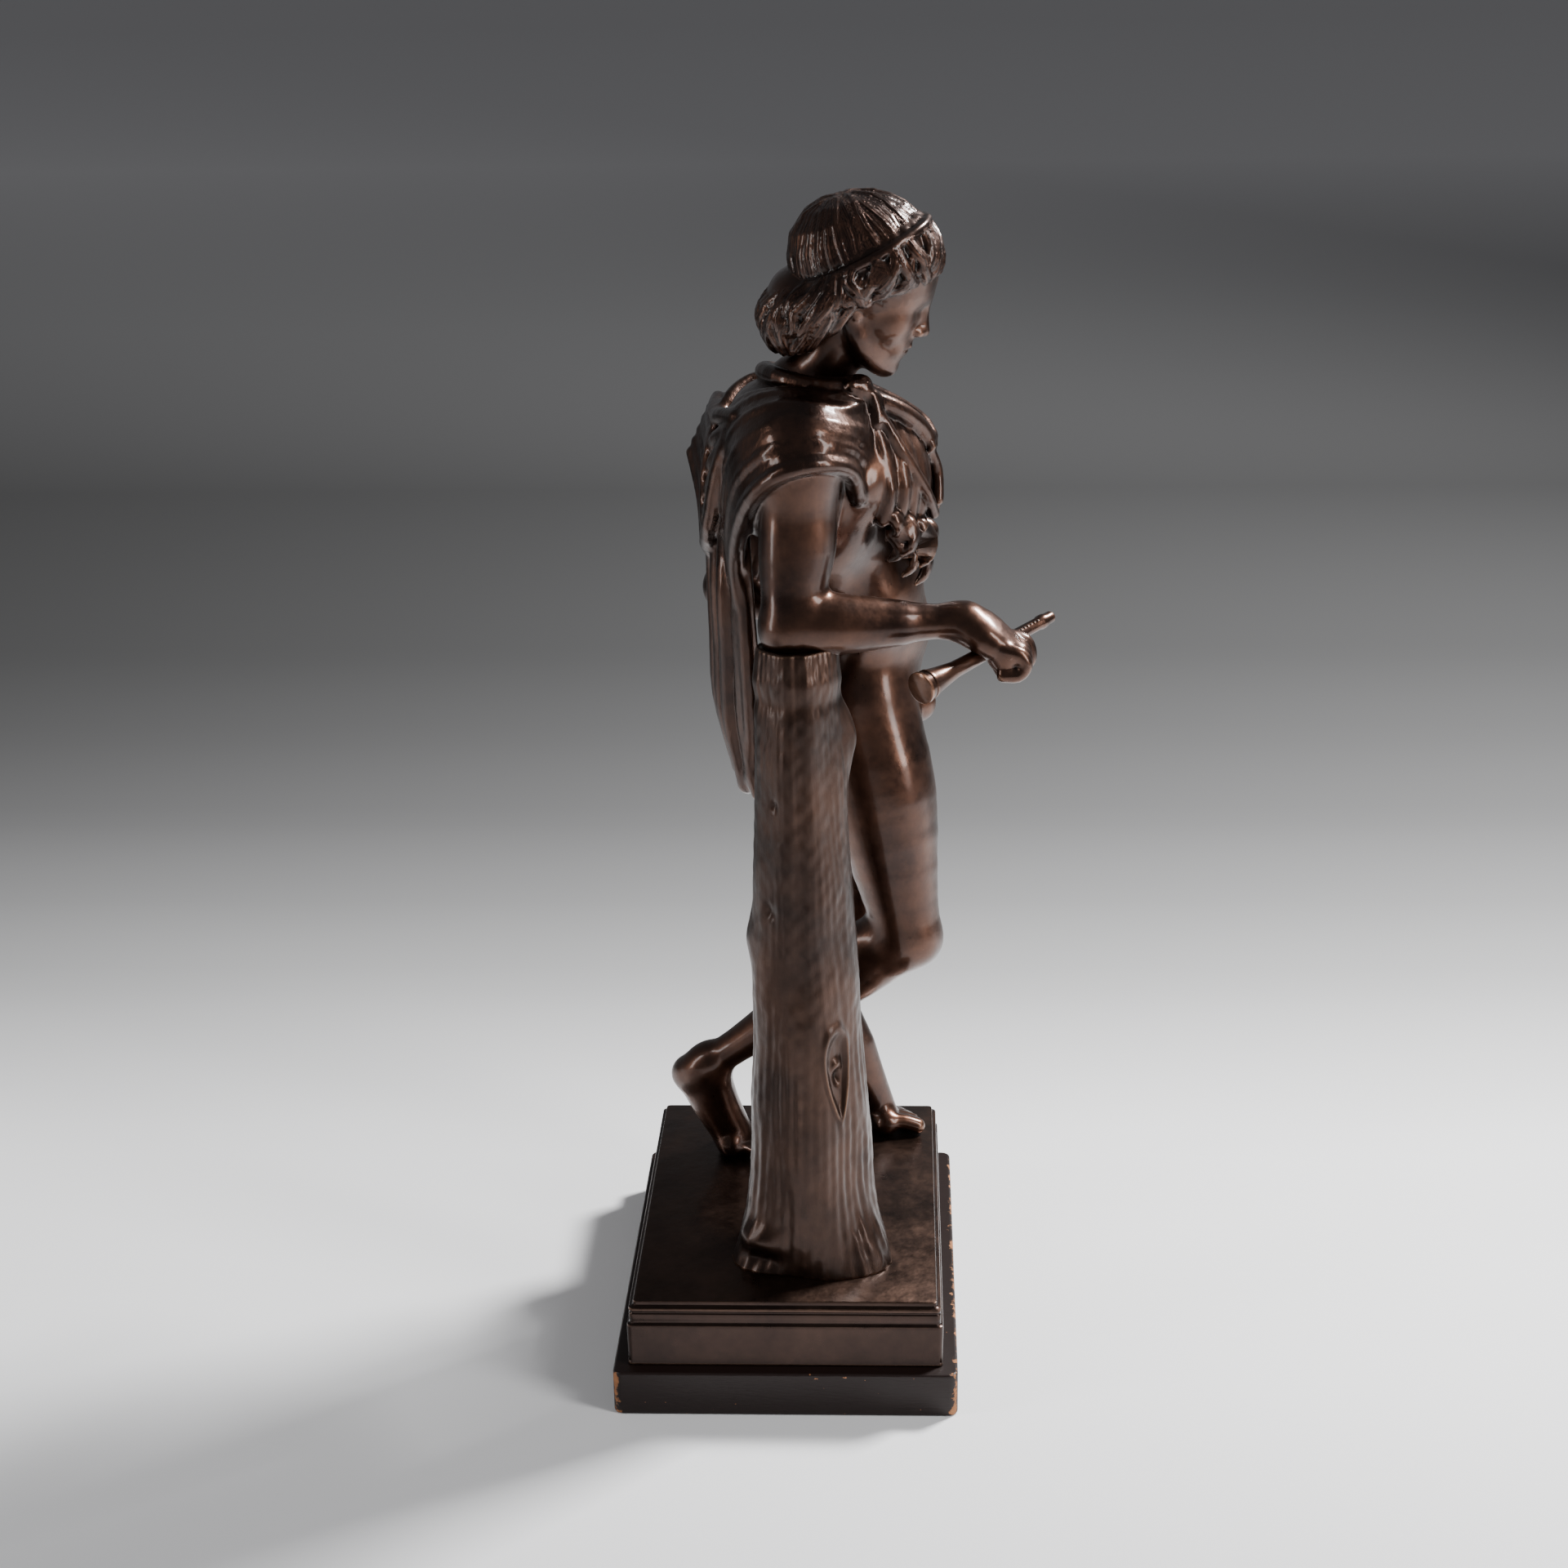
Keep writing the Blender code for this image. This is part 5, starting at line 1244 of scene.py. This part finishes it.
# %% Painted wood
CORNER_CHIP, EDGE_CHIP = (0.0128, 0.0118), (0.0106, 0.0098)
f = Finish("dark_paint")
place = f.stretched(AS_IS)
axes = f.add("SeparateXYZ", {"Vector": place}).outputs
away_x = f.math("SUBTRACT", half_x, f.math("ABSOLUTE", axes["X"]))
away_y = f.math("SUBTRACT", half_y, f.math("ABSOLUTE", axes["Y"]))
from_corner = f.math("MAXIMUM", away_x, away_y)
ragged = f.math("MULTIPLY", f.noise(place, 160, 5, 0.7), 0.020)
chip = f.remap(f.math("ADD", from_corner, ragged), *CORNER_CHIP)
from_top = f.math("SUBTRACT", SLAB_THICKNESS, axes["Z"])
right_side = f.math("ADD", axes["Y"], half_y)
edge = f.math("MAXIMUM", from_top, right_side)
edge_chip = f.remap(f.math("ADD", edge, ragged), *EDGE_CHIP)
bare = f.math("MAXIMUM", chip, edge_chip)
nick = f.remap(f.noise(place, 260, 2), 0.755, 0.775)
wood = f.blend(f.noise(f.stretched((8, 60, 300)), 3, 4), (0.20, 0.075, 0.028), (0.42, 0.19, 0.085))
colour = f.blend(f.math("MAXIMUM", bare, nick), (0.012, 0.006, 0.005), wood)
f.put("Base Color", colour)
f.put("Specular IOR Level", 0.28)
f.put("Roughness", f.remap(bare, 0, 1, 0.42, 0.70))
f.bump(f.math("SUBTRACT", f.noise(f.stretched((1, 1, 8)), 120, 4), bare), 0.5, WOOD_RELIEF)
paint = f.mat

# %% Dress the pieces
for piece, slot, node, mat in ((figure, "figure_bronze", "youth_figure", skin_bronze),
                               (tree, "stump_bronze", "tree_stump", bark_bronze),
                               (base, "base_bronze", "moulded_base", plate_bronze),
                               (slab, "painted_wood", "plinth_slab", paint),
                               (flute, "figure_bronze", "pipe", skin_bronze)):
    dress(piece, slot, node, mat)
holes = row_tree()
# the raised rims, and dark discs of painted shade where the holes are
for name, mat, thick, rim in (("pipe_hole_rims", skin_bronze, 0.00022, True),
                              ("pipe_hole_painted_shade", hole_painted_shade, 0.0004, False)):
    row = hole_row(name, holes, Radius=HOLE_RADIUS, Thickness=thick, Rim=rim, Material=mat, **hole_places)
    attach(row, "root")
    print("%s: %d triangles" % (name, triangles(row)))

# %% [markdown]
# The picture was taken from about head height and 1.5 m away, looking down by 20 degrees, so the pale floor
# fills the whole frame.
# Its darkening with distance is painted light falloff in its colour.

# %% Camera
CAMERA_AT = (-1.43419, -0.06445, 0.84880)
SENSOR_MM, FOCAL_PIXELS, PHOTO_PIXELS = 36, 3300, 1920
right, up = Vector((0.03939, -0.99909, -0.01641)), Vector((0.34076, -0.00201, 0.94015))
ahead = Vector((0.93933, 0.04262, -0.34037))
camera = bpy.data.objects.new("camera", bpy.data.cameras.new("camera"))
camera.matrix_world = Matrix.Translation(CAMERA_AT) @ Matrix((right, up, -ahead)).transposed().to_4x4()
camera.data.sensor_width = SENSOR_MM
camera.data.lens = SENSOR_MM * FOCAL_PIXELS / PHOTO_PIXELS
bpy.context.scene.collection.objects.link(camera)
bpy.context.scene.camera = camera
print("lens: %.1f mm" % camera.data.lens)

# %% Floor
# painted light and shade on the paper: its tone by its share of the way from near to far, paler and darker as
# the studio light falls and fades
FLOOR_NEAR, FLOOR_FAR = -0.5, 11.0
FLOOR_PAINTED_LIGHT = [(0.0, 0.74), (0.0343, 0.924), (0.0463, 0.93), (0.0604, 0.872), (0.0714, 0.615),
               (0.0839, 0.358), (0.0983, 0.214), (0.115, 0.122), (0.1347, 0.086), (0.1581, 0.065),
               (0.2219, 0.08), (0.3258, 0.29), (0.5253, 0.614), (0.932, 0.553)]
bm = bmesh.new()
bmesh.ops.create_grid(bm, x_segments=2, y_segments=2, size=1.0,
                      matrix=Matrix.Translation((6, 0, 0)) @ Matrix.Diagonal((9, 6, 1, 1)))
mesh = bpy.data.meshes.new("studio_floor")
bm.to_mesh(mesh)
bm.free()
floor = bpy.data.objects.new("studio_floor", mesh)
bpy.context.scene.collection.objects.link(floor)
# paper whose colour carries painted light and shade from the ramp below, not its own tone
f = Finish("paper_painted_light")
axes = f.add("SeparateXYZ", {"Vector": f.nodes.new("ShaderNodeTexCoord").outputs["Object"]}).outputs
shade = f.add("ValToRGB", {"Fac": f.remap(axes["X"], FLOOR_NEAR, FLOOR_FAR)})
f.put("Base Color", shade.outputs["Color"])
ramp = shade.color_ramp.elements
while len(ramp) < len(FLOOR_PAINTED_LIGHT):
    ramp.new(0.5)
for stop, (at, tone) in zip(ramp, FLOOR_PAINTED_LIGHT):
    stop.position, stop.color = at, (tone, tone, tone * 1.01, 1)
f.put("Roughness", 0.9)
mesh.materials.append(f.mat)

# %% Lights
def softbox(name, at, aim, size, watts):
    """A rectangular lamp that looks from one point to another."""
    lamp = bpy.data.lights.new(name, "AREA")
    lamp.shape = "RECTANGLE"
    lamp.size, lamp.size_y = size
    lamp.energy = watts
    obj = bpy.data.objects.new(name, lamp)
    look = (Vector(aim) - Vector(at)).to_track_quat("-Z", "Y")
    obj.matrix_world = Matrix.Translation(at) @ look.to_matrix().to_4x4()
    bpy.context.scene.collection.objects.link(obj)
    print("%s: %d W" % (name, watts))


softbox("right_box", (-0.75, -1.35, 1.0), (0, 0, 0.35), (0.34, 1.4), 22)
softbox("left_box", (-0.55, 1.45, 0.75), (0, 0, 0.35), (0.26, 1.2), 9)
softbox("back_box", (0.9, -1.25, 1.7), (0, 0, 0.1), (0.42, 0.42), 118)
world = bpy.data.worlds.new("studio")
bpy.context.scene.world = world
world.use_nodes = True
sky = world.node_tree.nodes["Background"].inputs
sky["Color"].default_value, sky["Strength"].default_value = (0.5, 0.5, 0.52, 1), 0.30
